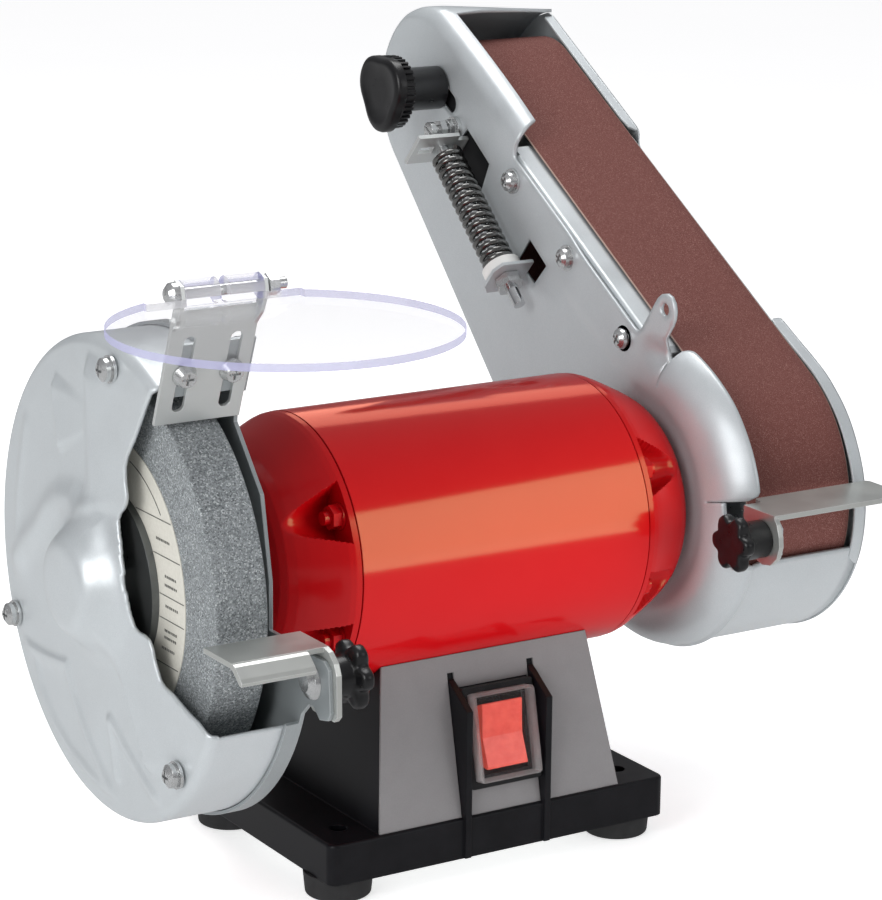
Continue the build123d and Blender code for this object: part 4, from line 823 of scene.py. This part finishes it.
# -------------------------------------------------- printed marks on the label
def label_marks():
    verts, faces = [], []
    thin, bold = 0.3, 0.9

    def bar(y0, z0, y1, z1, width):
        length = math.hypot(y1 - y0, z1 - z0)
        side_y, side_z = -(z1 - z0) / length * width / 2, (y1 - y0) / length * width / 2
        corners = [(y0 + side_y, z0 + side_z), (y1 + side_y, z1 + side_z),
                   (y1 - side_y, z1 - side_z), (y0 - side_y, z0 - side_z)]
        add_tube(verts, faces, [[shaft_point(x, y, z) for y, z in corners]
                                for x in (-134.22, -134.34)])

    def chord(radius, z):
        return math.sqrt(radius ** 2 - z * z)

    for z in (29.8, 17.0, 3.1, -5.5, -22.2):
        for side in (-1, 1):
            bar(side * chord(51.9, z), z, side * chord(33.6, z), z, thin)
    curve = [math.radians(14 + k * 1.7) for k in range(21)]
    for a, b in zip(curve, curve[1:]):
        bar(-47.0 * math.sin(a), 47.0 * math.cos(a), -47.0 * math.sin(b), 47.0 * math.cos(b), thin)
    # rows of words
    rng = random.Random(3)
    for z in (22.6, 10.2, 7.0, -0.6, -9.6, -12.2, -16.4):
        y, end = -chord(47.0, z), -chord(37.5, z)
        while y < end - 1:
            word = rng.uniform(0.35, 0.9)
            bar(y, z, min(end, y + word), z, bold)
            y += word + rng.uniform(0.4, 0.7)
    add_mesh("label_marks", verts, faces, "label_ink", "spindle", crease=20)


label_marks()

# ------------------------------------------------------ belt arm's pressed pan
# Outlines are (up, fwd) in the arm frame, around the drive wheel's axis.
PAN_X, PAN_WALL_X = 93.0, 159.1
PAN_HEAD, PAN_HEAD_RADIUS = (208.5, 33.5), 39.6
ARM_WHEEL_RADIUS = 61.3
PAN_FILLET = 13.0
PAN_SEAT_RADIUS = 48.3          # where the fillet round the wheel starts
PAN_LOW_X, FLANGE_X = 102.6, 102.8
TOP_START, TOP_END = 143.6, 221.0
TOP_STEPS, HEAD_STEPS, BACK_STEPS, WHEEL_STEPS, TURN_STEPS, FLANGE_STEPS = 45, 44, 60, 64, 22, 50
FILLET_STEPS, WALL_STEPS, HALF_STEPS = 12, 14, 6
# (degrees round the wheel, radius) of the flange over its front
FLANGE = [
    (222.5, 69.6), (224.3, 70.6), (228.3, 70.9), (235.8, 70.3), (244.5, 69.4), (253.9, 68.6),
    (263.7, 66.9), (273.2, 65.8), (281.6, 65.4), (286.0, 65.0)]
# open front edge of the pan, with a round lug
PAN_LUG = [
    (15.6, 57.4), (16.6, 58.6), (18.2, 59.4), (19.2, 61.2), (19.3, 66.0), (18.7, 73.6),
    (19.0, 76.6), (20.3, 79.6), (22.6, 81.8), (25.5, 82.6), (28.4, 81.8), (30.6, 79.7),
    (31.8, 76.8), (32.2, 73.6), (33.0, 64.0), (33.4, 59.6), (34.2, 57.4), (35.8, 56.2),
    (38.0, 56.0)]
PAN_EDGE_END = [(139.6, 56.0), (141.4, 56.3), (142.4, 57.2), (143.0, 58.8)]
SLOT_RADIUS, SLOT_LENGTH = 4.0, 11.0
PAN_GRID = 2.2


def proud(up, fwd):
    """How far the lower field stands out of the plate."""
    radius = math.hypot(up, fwd)
    angle = math.degrees(math.atan2(fwd, up))
    if 58.0 < angle < 80.0 and radius > PAN_SEAT_RADIUS:
        reach = min(radius, 60.0) - PAN_SEAT_RADIUS
        dip = 18.7 * (1 - math.sqrt(max(0.0, 1 - (reach / 18.7) ** 2)))
        return 1.2 - dip * ease((angle - 58.0) / 15.0) * (1 - ease((radius - 61.0) / 9.0))
    rise = ease((radius - 40.5) / 6.0)
    front = ease((fwd - 33.0) / 5.0)
    weight = ease((up + 2.0) / 14.0)
    front = front * weight + (1 - weight)
    return 1.2 * rise * front * (1 - ease((up - 76.0) / 22.0))


def pan_path():
    """Clockwise rim stations (up, fwd, fillet radius, x of the wall's end), in three parts:
    the wall, the turn into the flange, and the flange."""
    wall = []
    for i in range(TOP_STEPS + 1):
        wall.append((TOP_START + (TOP_END - TOP_START) * i / TOP_STEPS,
                     69.4 + 0.9 * math.sin(math.pi * i / TOP_STEPS), 8.0, PAN_LOW_X))
    first = math.atan2(36.0, 14.0)
    back = tangent_angle(ARM_WHEEL_RADIUS, PAN_HEAD_RADIUS, PAN_HEAD)
    for i in range(1, HEAD_STEPS + 1):
        up, fwd = on_circle(PAN_HEAD_RADIUS - 0.9 * max(0.0, 1 - i / 8),
                            first + (back - first) * i / HEAD_STEPS, PAN_HEAD)
        deep = min(1.0, max(0.0, (up - 222.0) / 9.6)) if i < 14 else 1.0
        wall.append((up, fwd, 8.0 - 5.0 * min(1.0, i / 12),
                     PAN_LOW_X + (PAN_WALL_X - PAN_LOW_X) * deep))
    start, end = on_circle(PAN_HEAD_RADIUS, back, PAN_HEAD), on_circle(ARM_WHEEL_RADIUS, back)
    for i in range(1, BACK_STEPS):
        k = i / BACK_STEPS
        wall.append((*between(start, end, k), 3.0 + 10.0 * ease((k - 0.55) / 0.45), PAN_WALL_X))
    leave = math.radians(-196.4)
    wall += [(*point, PAN_FILLET, PAN_WALL_X)
             for point in arc(ARM_WHEEL_RADIUS, back, leave, WHEEL_STEPS)]
    turn = []
    for i in range(1, TURN_STEPS + 1):
        fillet = PAN_FILLET + 10.2 * ease((i - 11) / 11.0)
        angle = leave + (math.radians(-221.5) - leave) * i / TURN_STEPS
        turn.append((*on_circle(PAN_SEAT_RADIUS + fillet, angle), fillet, 0))
    flange = []
    for degrees in np.linspace(221.9, 286.0, FLANGE_STEPS):
        radius = np.interp(degrees, *zip(*FLANGE)) + 2.0
        flange.append((*on_circle(radius, math.radians(-degrees)), radius - PAN_SEAT_RADIUS,
                       FLANGE_X))
    return wall, turn, flange


def fillet_arc(radius, x, end, steps):
    """(offset outward, x) round a fillet that starts at x and turns through angle end."""
    return [(radius * (math.sin(end * k / steps) - 1), x + radius * (1 - math.cos(end * k / steps)))
            for k in range(steps + 1)]


def wall_section(i, count, fillet, x_base, x_end):
    """(offset outward, x) up the wall at station i of count."""
    section = fillet_arc(fillet, x_base, math.pi / 2, FILLET_STEPS)
    start = x_base + fillet
    for j in range(1, WALL_STEPS + 1):
        x = start + (x_end - start) * (j / WALL_STEPS) ** 1.5
        offset = 0.0
        if TOP_STEPS < i <= TOP_STEPS + HEAD_STEPS:
            # the head narrows towards the side cover
            offset = -4.2 * max(0.0, (x - 104.0) / 55.0) * (1 - ease((i - 60) / 14.0))
        elif i > count - WHEEL_STEPS:
            # a bead and a step back round the wheel
            offset = 1.1 * math.exp(-((x - 105.5) / 2.2) ** 2) - 0.5 * ease((x - 107.0) / 2.0)
        section.append((offset, x))
    return section


def flange_section(i, fillet, x_base, x_end):
    """(offset outward, x) of the flange, its two ends rounded off."""
    def corner(distance, length, depth):
        return depth * (1 - math.sqrt(1 - (1 - min(distance / length, 1.0)) ** 2))

    run = i / (FLANGE_STEPS - 1) * 75.0
    x_end -= corner(run, 3.5, 3.5) + corner(75.0 - run, 7.0, 7.5)
    sweep = math.acos(1 - (x_end - x_base) / fillet)
    return fillet_arc(fillet, x_base, sweep, FILLET_STEPS + 2)


def pan_rows():
    """Rows of (x, up, fwd) from the flat of the plate outward, for the three rim parts."""
    wall, turn, flange = pan_path()
    # the path runs clockwise, so outward is to its left
    step = np.gradient(np.array([station[:2] for station in wall]), axis=0)
    step /= np.hypot(step[:, 0], step[:, 1])[:, None]
    normals = [(-b, a) for a, b in step]
    for up, fwd, _, _ in turn + flange:
        normals.append((up / math.hypot(up, fwd), fwd / math.hypot(up, fwd)))
    rows = []
    for i, (up, fwd, fillet, x_end) in enumerate(wall + turn + flange):
        out_up, out_fwd = normals[i]
        x_base = PAN_X - proud(up - out_up * fillet, fwd - out_fwd * fillet)
        if i < len(wall):
            section = wall_section(i, len(wall), fillet, x_base, x_end)
        elif i < len(wall) + len(turn):
            section = fillet_arc(fillet, x_base, math.asin(9.192 / fillet), HALF_STEPS)
        else:
            section = flange_section(i - len(wall) - len(turn), fillet, x_base, x_end)
        # the start of the top wall slants
        slant = 0.52 * max(0.0, 1 - (up - TOP_START) / 16.0) if i <= TOP_STEPS else 0.0
        rows.append([(x, up + out_up * offset + (x - PAN_X) * slant, fwd + out_fwd * offset)
                     for offset, x in section])
    return rows, len(wall), len(wall) + len(turn)


def pan_plate(outer):
    """Points and faces of the flat inside the outline, around its openings."""
    slot_up, slot_fwd = TRACK_KNOB
    slot = [on_circle(SLOT_RADIUS, math.radians(a), (slot_up - shift, slot_fwd))
            for first, shift in ((-90, 0.0), (90, SLOT_LENGTH))
            for a in range(first, first + 181, 15)]
    holes = [slot,
             [(176.6, 43.6), (155.0, 42.0), (153.5, 26.0), (181.5, 27.5)],
             [(114.6, 35.6), (99.0, 34.4), (101.8, 22.0), (117.0, 22.0)],
             circle(21.0, 48),
             circle(2.6, 24, (25.8, 76.0))]

    def within(points):
        result = inside(points, outer)
        for hole in holes:
            result &= ~inside(points, hole)
        return result

    points, edges = [], []
    for loop in [outer] + holes:
        base, size = len(points), len(loop)
        points += loop
        edges += [(base + i, base + (i + 1) % size) for i in range(size)]
    # staggered grid, kept clear of the outlines
    grid_up, grid_fwd = np.meshgrid(np.arange(-60.0, 246.0, PAN_GRID),
                                    np.arange(-60.0, 84.0, PAN_GRID))
    grid = np.stack([grid_up.ravel(), grid_fwd.ravel()], 1)
    even = np.round(grid[:, 1] / PAN_GRID).astype(int) % 2 == 0
    grid[:, 0] += np.where(even, 0.0, PAN_GRID / 2)
    grid = grid[within(grid)]
    nearest = np.full(len(grid), 1e9)
    for loop in [outer] + holes:
        line = np.array(loop + [loop[0]])
        moves = np.concatenate([[True], np.hypot(*(line[1:] - line[:-1]).T) > 1e-6])
        nearest = np.minimum(nearest, np.abs(along(grid, line[moves])[0]))
    sites = [Vector((p[0], p[1])) for p in points + list(grid[nearest > 1.0])]
    result = delaunay_2d_cdt(sites, edges, [], 0, 1e-5)
    corners, faces = result[0], result[2]
    centres = np.array([[sum(corners[k][axis] for k in face) / len(face) for axis in (0, 1)]
                        for face in faces])
    return corners, [face for face, kept in zip(faces, within(centres)) if kept]


def arm_pan():
    verts, faces = [], []

    def skin(rows):
        base, size = len(verts), len(rows[0])
        verts.extend(arm_point(*point) for row in rows for point in row)
        for i in range(len(rows) - 1):
            for k in range(size - 1):
                near = base + i * size + k
                faces.append((near, near + size, near + size + 1, near + 1))

    rows, wall_end, turn_end = pan_rows()
    skin(rows[:wall_end])
    skin([rows[wall_end - 1][:HALF_STEPS + 1]] + rows[wall_end:turn_end])
    skin(rows[turn_end:])
    edge = PAN_LUG + [(38.0 + 3.0 * i, 56.0) for i in range(1, 34)] + PAN_EDGE_END
    corners, plate = pan_plate([row[0][1:] for row in rows] + edge)
    base = len(verts)
    verts += [arm_point(PAN_X - proud(up, fwd), up, fwd) for up, fwd in corners]
    faces += [tuple(base + k for k in face) for face in plate]
    piece = add_mesh("arm_pan", verts, faces, "silver_paint", "belt_arm", crease=55)
    # the plate has to face outward, to -X, for the sheet to thicken inward
    probe = piece.matrix_world.inverted() @ Vector(arm_point(PAN_X, 120, 45))
    nearest = min(piece.data.polygons, key=lambda polygon: (polygon.center - probe).length)
    if nearest.normal.x > 0:
        piece.data.flip_normals()
    thicken(piece, 1.4)
    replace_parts(piece, "arm_housing")


# ring across the rod, (x, fwd), its outer corners cut off
SPRING_SEAT = [(75.6, -5.0), (75.6, 5.0), (78.6, 9.3), (93.2, 9.3), (93.2, -9.3), (78.6, -9.3)]
# tab behind the small rest, (y, z) in the shaft frame
REST_TAB = [
    (-57.6, -17.0), (-70.0, -7.2), (-84.6, -5.4), (-86.4, -3.6), (-86.4, 6.4), (-84.8, 8.0),
    (-72.5, 8.0), (-67.4, 0.6), (-57.0, -1.2)]
POSTS = [(78.0, 22.0), (84.0, -14.0), (150.0, 10.0)]    # (up, fwd)


def arm_folds():
    """Spring seat, rest tab and posts of the arm housing."""
    verts, faces = [], []
    add_tube(verts, faces, [[rod_point(x, run, fwd) for x, fwd in SPRING_SEAT]
                            for run in (-5.2, -3.7)])
    add_tube(verts, faces, [[shaft_point(x, y, z) for y, z in REST_TAB] for x in (97.5, 99.0)])
    for post in POSTS:
        add_tube(verts, faces, [[arm_point(x, *point) for point in circle(4.4, 28, post)]
                                for x in (94.2, PAN_WALL_X)])
    piece = add_mesh("arm_folds", verts, faces, "silver_paint", "belt_arm", crease=35)
    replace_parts(piece, "arm_housing")


arm_pan()
arm_folds()

# --------------------------------------------- outer side cover of the belt arm
SIDE_HEAD, SIDE_HEAD_RADIUS = (206.8, 32.0), 39.0
# (degrees round the wheel, radius) of the cover's front edge
SIDE_FRONT = [(195, 61.3), (210, 60.8), (225, 60.0), (235, 59.3), (247, 59.0), (259, 58.6),
              (272, 58.8)]
SIDE_FRONT_END = [(8.0, 58.6), (15.0, 58.2), (22.2, 57.9), (28.0, 57.7), (31.2, 57.4),
                  (32.6, 56.6), (33.4, 55.2)]
# (x, inset) of the plate's softly rounded rim
SIDE_RIM = [(160.55, 1.5), (160.35, 0.6), (159.9, 0.0), (159.25, 0.0), (159.25, 1.4)]


def side_cover():
    back = tangent_angle(ARM_WHEEL_RADIUS, SIDE_HEAD_RADIUS, SIDE_HEAD)
    head = [on_circle(SIDE_HEAD_RADIUS - 3.0 * ease((math.degrees(angle) - 8.0) / 34.0),
                      angle, SIDE_HEAD)
            for angle in np.linspace(math.radians(46), back, 50)]
    wheel = arc(ARM_WHEEL_RADIUS, back, math.radians(-195), 59)[1:]
    front = [on_circle(np.interp(degrees, *zip(*SIDE_FRONT)), math.radians(-degrees))
             for degrees in np.linspace(196.5, 272, 46)] + SIDE_FRONT_END
    middle = ([(34.2, 53.4), (35.6, 52.6), (38.0, 52.4)]
              + [(38.0 + 5 * i, 52.4) for i in range(1, 21)]
              + [(144.5, 52.5), (146.4, 53.2), (147.6, 54.6), (148.6, 56.6)])
    top = ([(150.2, 58.0), (152.5, 58.4)]
           + [(152.5 + 6 * i, 58.4 + 0.03 * i) for i in range(1, 12)]
           + [(223.5, 58.8), (228.0, 58.8)])
    loop = head + wheel + front + middle + top
    verts, faces = [], []

    def inset(k, distance):
        # the loop runs clockwise, so the inside lies to its right
        before, after = loop[k - 1], loop[(k + 1) % len(loop)]
        run_up, run_fwd = after[0] - before[0], after[1] - before[1]
        length = math.hypot(run_up, run_fwd)
        return (loop[k][0] + run_fwd / length * distance, loop[k][1] - run_up / length * distance)

    def rim(first, end, depth, taper_start, taper_end):
        """Rim turned inward along part of the loop, tapering at its ends."""
        lengths = [0.0]
        for k in range(first + 1, end):
            lengths.append(lengths[-1] + math.dist(loop[k - 1], loop[k]))
        rings = []
        for k, length in zip(range(first, end), lengths):
            share = min(1.0, length / taper_start)
            if taper_end:
                share = min(share, (lengths[-1] - length) / taper_end)
            deep = depth * math.sin(math.pi / 2 * share) + 0.15
            # (x, inset)
            section = [(159.6, 0.0), (159.4 - deep * 0.5, 0.0), (159.4 - deep, 0.0),
                       (159.4 - deep - 0.25, 0.6), (159.4 - deep, 1.25), (159.6, 1.25)]
            rings.append([arm_point(x, *inset(k, distance)) for x, distance in section])
        add_tube(verts, faces, rings)

    add_tube(verts, faces, [[arm_point(x, *inset(k, distance)) for k in range(len(loop))]
                            for x, distance in SIDE_RIM])
    front_start = len(head) + len(wheel)
    rim(front_start - 4, front_start + len(front), depth=4.6, taper_start=5.0, taper_end=5.0)
    rim(len(loop) - len(top), len(loop), depth=4.0, taper_start=4.0, taper_end=0.0)
    piece = add_mesh("arm_cover_plate", verts, faces, "silver_paint", "belt_arm", crease=32)
    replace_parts(piece, "arm_side_cover")


side_cover()


# ----------------------------------------------------------------------- knobs
def turned(name, node, body, place, profile, shape, steps=144):
    """Knob from a profile of (length, radius, lobe strength).

    shape(angle, strength) scales the radius; place maps (length, a, b) to the row frame.
    """
    rings = []
    for length, radius, strength in profile:
        ring = []
        for j in range(steps):
            angle = 2 * math.pi * j / steps
            reach = radius * shape(angle, strength)
            ring.append(place(length, reach * math.cos(angle), reach * math.sin(angle)))
        rings.append(ring)
    verts, faces = [], []
    add_tube(verts, faces, rings)
    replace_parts(add_mesh(name, verts, faces, "knob_black", body, crease=38), node)


def six_lobes(angle, strength):
    valley = 0.5 - 0.5 * math.cos(6 * angle + 0.3)
    return 1.0 - strength * (valley ** 1.7) * 0.24


def lobed_knob(name, node, body, start, side, hub, head, radius):
    """Six-lobed clamp knob; start is its (x, y, z), side the way it points along X."""
    x0, y0, z0 = start
    end = hub + head
    profile = [
        (0.0, 6.6, 0), (0.3, 7.2, 0), (hub - 1.4, 7.3, 0), (hub - 0.5, 8.0, 0.1),
        (hub + 0.1, radius * 0.84, 0.75), (hub + 0.7, radius * 0.96, 1.0),
        (hub + 1.5, radius, 1.0), (end - 1.7, radius, 1.0), (end - 0.9, radius * 0.965, 1.0),
        (end - 0.35, radius * 0.89, 0.9), (end - 0.05, radius * 0.78, 0.7),
        (end, radius * 0.62, 0.35), (end - 0.15, radius * 0.35, 0.1),
        (end - 0.25, radius * 0.08, 0)]
    turned(name, node, body, lambda length, a, b: shaft_point(x0 + side * length, y0 + a, z0 + b),
           profile, six_lobes)


def three_lobes(angle, strength):
    if strength < 0:
        # knurled rim behind the head
        tooth = 1 if math.sin(36 * angle) > 0 else -1
        return 1.0 + 0.0405 * math.cos(3 * angle) - 0.030 * tooth * strength
    return 1.0 + strength * (0.095 * math.cos(3 * angle) - 0.012 * math.cos(6 * angle))


TRACK_KNOB_X = 92.1
# (length towards -X, radius, lobe strength; negative is knurled)
TRACK_PROFILE = [
    (0.0, 8.6, 0), (0.3, 9.1, 0), (17.6, 9.1, 0), (18.4, 9.6, 0), (19.4, 11.6, 0),
    (19.7, 13.6, -0.5), (20.0, 14.8, -1.0), (24.4, 15.0, -1.0), (24.6, 15.6, 0.6),
    (24.9, 15.9, 1.0), (27.6, 15.9, 1.0), (28.5, 15.6, 1.0), (29.1, 14.9, 1.0),
    (29.4, 13.9, 1.0), (29.5, 12.6, 0.9), (29.2, 11.8, 0.8), (29.1, 6.0, 0.4), (29.1, 0.5, 0)]

lobed_knob("rest_clamp_knob", "wheel_rest_knob", "rest_knob", start=(-102.79, -92.0, -17.4),
           side=1, hub=9.6, head=5.4, radius=12.4)
lobed_knob("belt_rest_clamp_knob", "belt_rest_knob", "belt_rest_knob_body",
           start=(95.3, -78.2, 1.2), side=-1, hub=10.6, head=5.2, radius=11.2)
turned("track_knob_head", "tracking_knob", "track_knob",
       lambda length, a, b: arm_point(TRACK_KNOB_X - length, TRACK_KNOB[0] + a, TRACK_KNOB[1] + b),
       TRACK_PROFILE, three_lobes, steps=432)


# ------------------------------------------------------------- stage and light
def studio_floor():
    """Glowing white floor that looks darker in reflections."""
    mesh = bpy.data.meshes.new("studio_floor")
    bm = bmesh.new()
    bmesh.ops.create_grid(bm, x_segments=4, y_segments=4, size=6.0)
    bm.to_mesh(mesh)
    bm.free()
    ground = bpy.data.objects.new("studio_floor", mesh)
    scene.collection.objects.link(ground)
    ground.location = (0, 0, -0.0002)
    shader = new_material("studio_floor")
    cloud = shader.noise(shader.coords(), scale=3.0, detail=3.0)
    white = shader.add("BsdfPrincipled", {
        "Base Color": shader.two_tone(cloud, (0.93, 0.93, 0.93), (0.95, 0.95, 0.95)),
        "Roughness": 0.7, "Specular IOR Level": 0.2,
        "Emission Color": (1, 1, 1), "Emission Strength": 0.62})
    dark = shader.add("Emission", {0: (0.30, 0.30, 0.305)})
    glossy = shader.add("LightPath").outputs["Is Glossy Ray"]
    shader.add("OutputMaterial", {0: shader.mix_shaders(
        shader.math("MULTIPLY", glossy, 0.8), white.outputs[0], dark.outputs[0])})
    mesh.materials.append(MATERIALS["studio_floor"])


def studio_world():
    """White to the camera, a grey gradient by height to everything else."""
    world = bpy.data.worlds.new("studio")
    scene.world = world
    world.use_nodes = True
    shader = Shader(world.node_tree)
    white = shader.add("Background", {0: (1.0, 1.0, 1.0), 1: 1.0})
    ambient = shader.add("Background", {0: (1.0, 1.0, 1.0), 1: 1.0})
    incoming = shader.add("NewGeometry").outputs["Incoming"]
    z = shader.add("SeparateXYZ", {0: incoming}).outputs[2]
    shader.feed(ambient, 0, shader.ramp(shader.remap(z, span=(-1.0, 1.0), to=(1.0, 0.0)), [
        (0.0, (0.35, 0.35, 0.36)), (0.48, (0.10, 0.10, 0.105)),
        (0.62, (0.24, 0.24, 0.25)), (1.0, (0.46, 0.46, 0.47))]))
    camera_ray = shader.add("LightPath").outputs["Is Camera Ray"]
    shader.add("OutputWorld", {0: shader.mix_shaders(camera_ray, ambient.outputs[0],
                                                     white.outputs[0])})


studio_floor()
studio_world()

# the red pieces and all others are lit by separate lights
reds = bpy.data.collections.new("red_parts")
for piece in (nodes["motor_tube"], nodes["tie_bolts"], bpy.data.objects["bell_casting_left"],
              bpy.data.objects["bell_casting_right"]):
    reds.objects.link(piece)
others = bpy.data.collections.new("other_parts")
for piece in bpy.data.objects:
    if piece.type == "MESH" and piece.name not in reds.objects:
        others.objects.link(piece)

WHITE = (1, 1, 1)
# name, place, height aimed at over the origin, (width, height), watts, colour, lit pieces
LIGHTS = [
    ("band_softbox", (0.335, -0.475, 0.262), 0.123, (0.44, 0.47), 4.0, (0.78, 1.0, 0.5), reds),
    ("top_softbox", (0.74, 0.92, 0.84), 0.123, (0.7, 0.7), 7.5, (1.0, 0.36, 0.24), reds),
    ("left_softbox", (-1.35, -0.62, 0.72), 0.12, (0.75, 0.9), 11.0, WHITE, others),
    ("over_softbox", (0.25, 0.35, 1.35), 0.12, (0.7, 0.8), 8.4, WHITE, others),
    ("front_softbox", (0.62, -1.25, 0.62), 0.10, (0.5, 0.6), 1.6, WHITE, others),
    ("red_fill", (-1.25, -0.72, 0.82), 0.12, (0.6, 0.7), 3.4, WHITE, reds),
]
for name, place, aim, (width, height), power, color, lit in LIGHTS:
    light = bpy.data.lights.new(name, "AREA")
    light.energy = power
    light.color = color
    light.shape = "RECTANGLE"
    light.size = width
    light.size_y = height
    lamp = bpy.data.objects.new(name, light)
    scene.collection.objects.link(lamp)
    lamp.location = place
    lamp.rotation_mode = "QUATERNION"
    lamp.rotation_quaternion = (Vector((0, 0, aim)) - Vector(place)).to_track_quat("-Z", "Y")
    lamp.light_linking.receiver_collection = lit
bpy.data.objects["red_fill"].visible_glossy = False
scene.view_settings.view_transform = "Standard"
scene.view_settings.look = "None"


# --------------------------------------------------------------------- camera
def add_camera():
    yaw, pitch, roll = 0.5574851, 0.2480847, 0.0091961      # radians
    ahead = Vector((math.sin(yaw) * math.cos(pitch), math.cos(yaw) * math.cos(pitch),
                    -math.sin(pitch)))
    level = Vector((math.cos(yaw), -math.sin(yaw), 0))
    upright = level.cross(ahead)
    right = math.cos(roll) * level + math.sin(roll) * upright
    top = -math.sin(roll) * level + math.cos(roll) * upright
    lens = bpy.data.cameras.new("photo_camera")
    lens.lens = 125.94
    lens.sensor_width = 36.0
    lens.sensor_fit = "AUTO"
    lens.clip_start, lens.clip_end = 0.05, 50.0
    camera = bpy.data.objects.new("photo_camera", lens)
    scene.collection.objects.link(camera)
    matrix = Matrix((right, top, -ahead)).transposed().to_4x4()
    matrix.translation = Vector((-0.609, -0.9884, 0.4455))
    camera.matrix_world = matrix
    scene.camera = camera


add_camera()
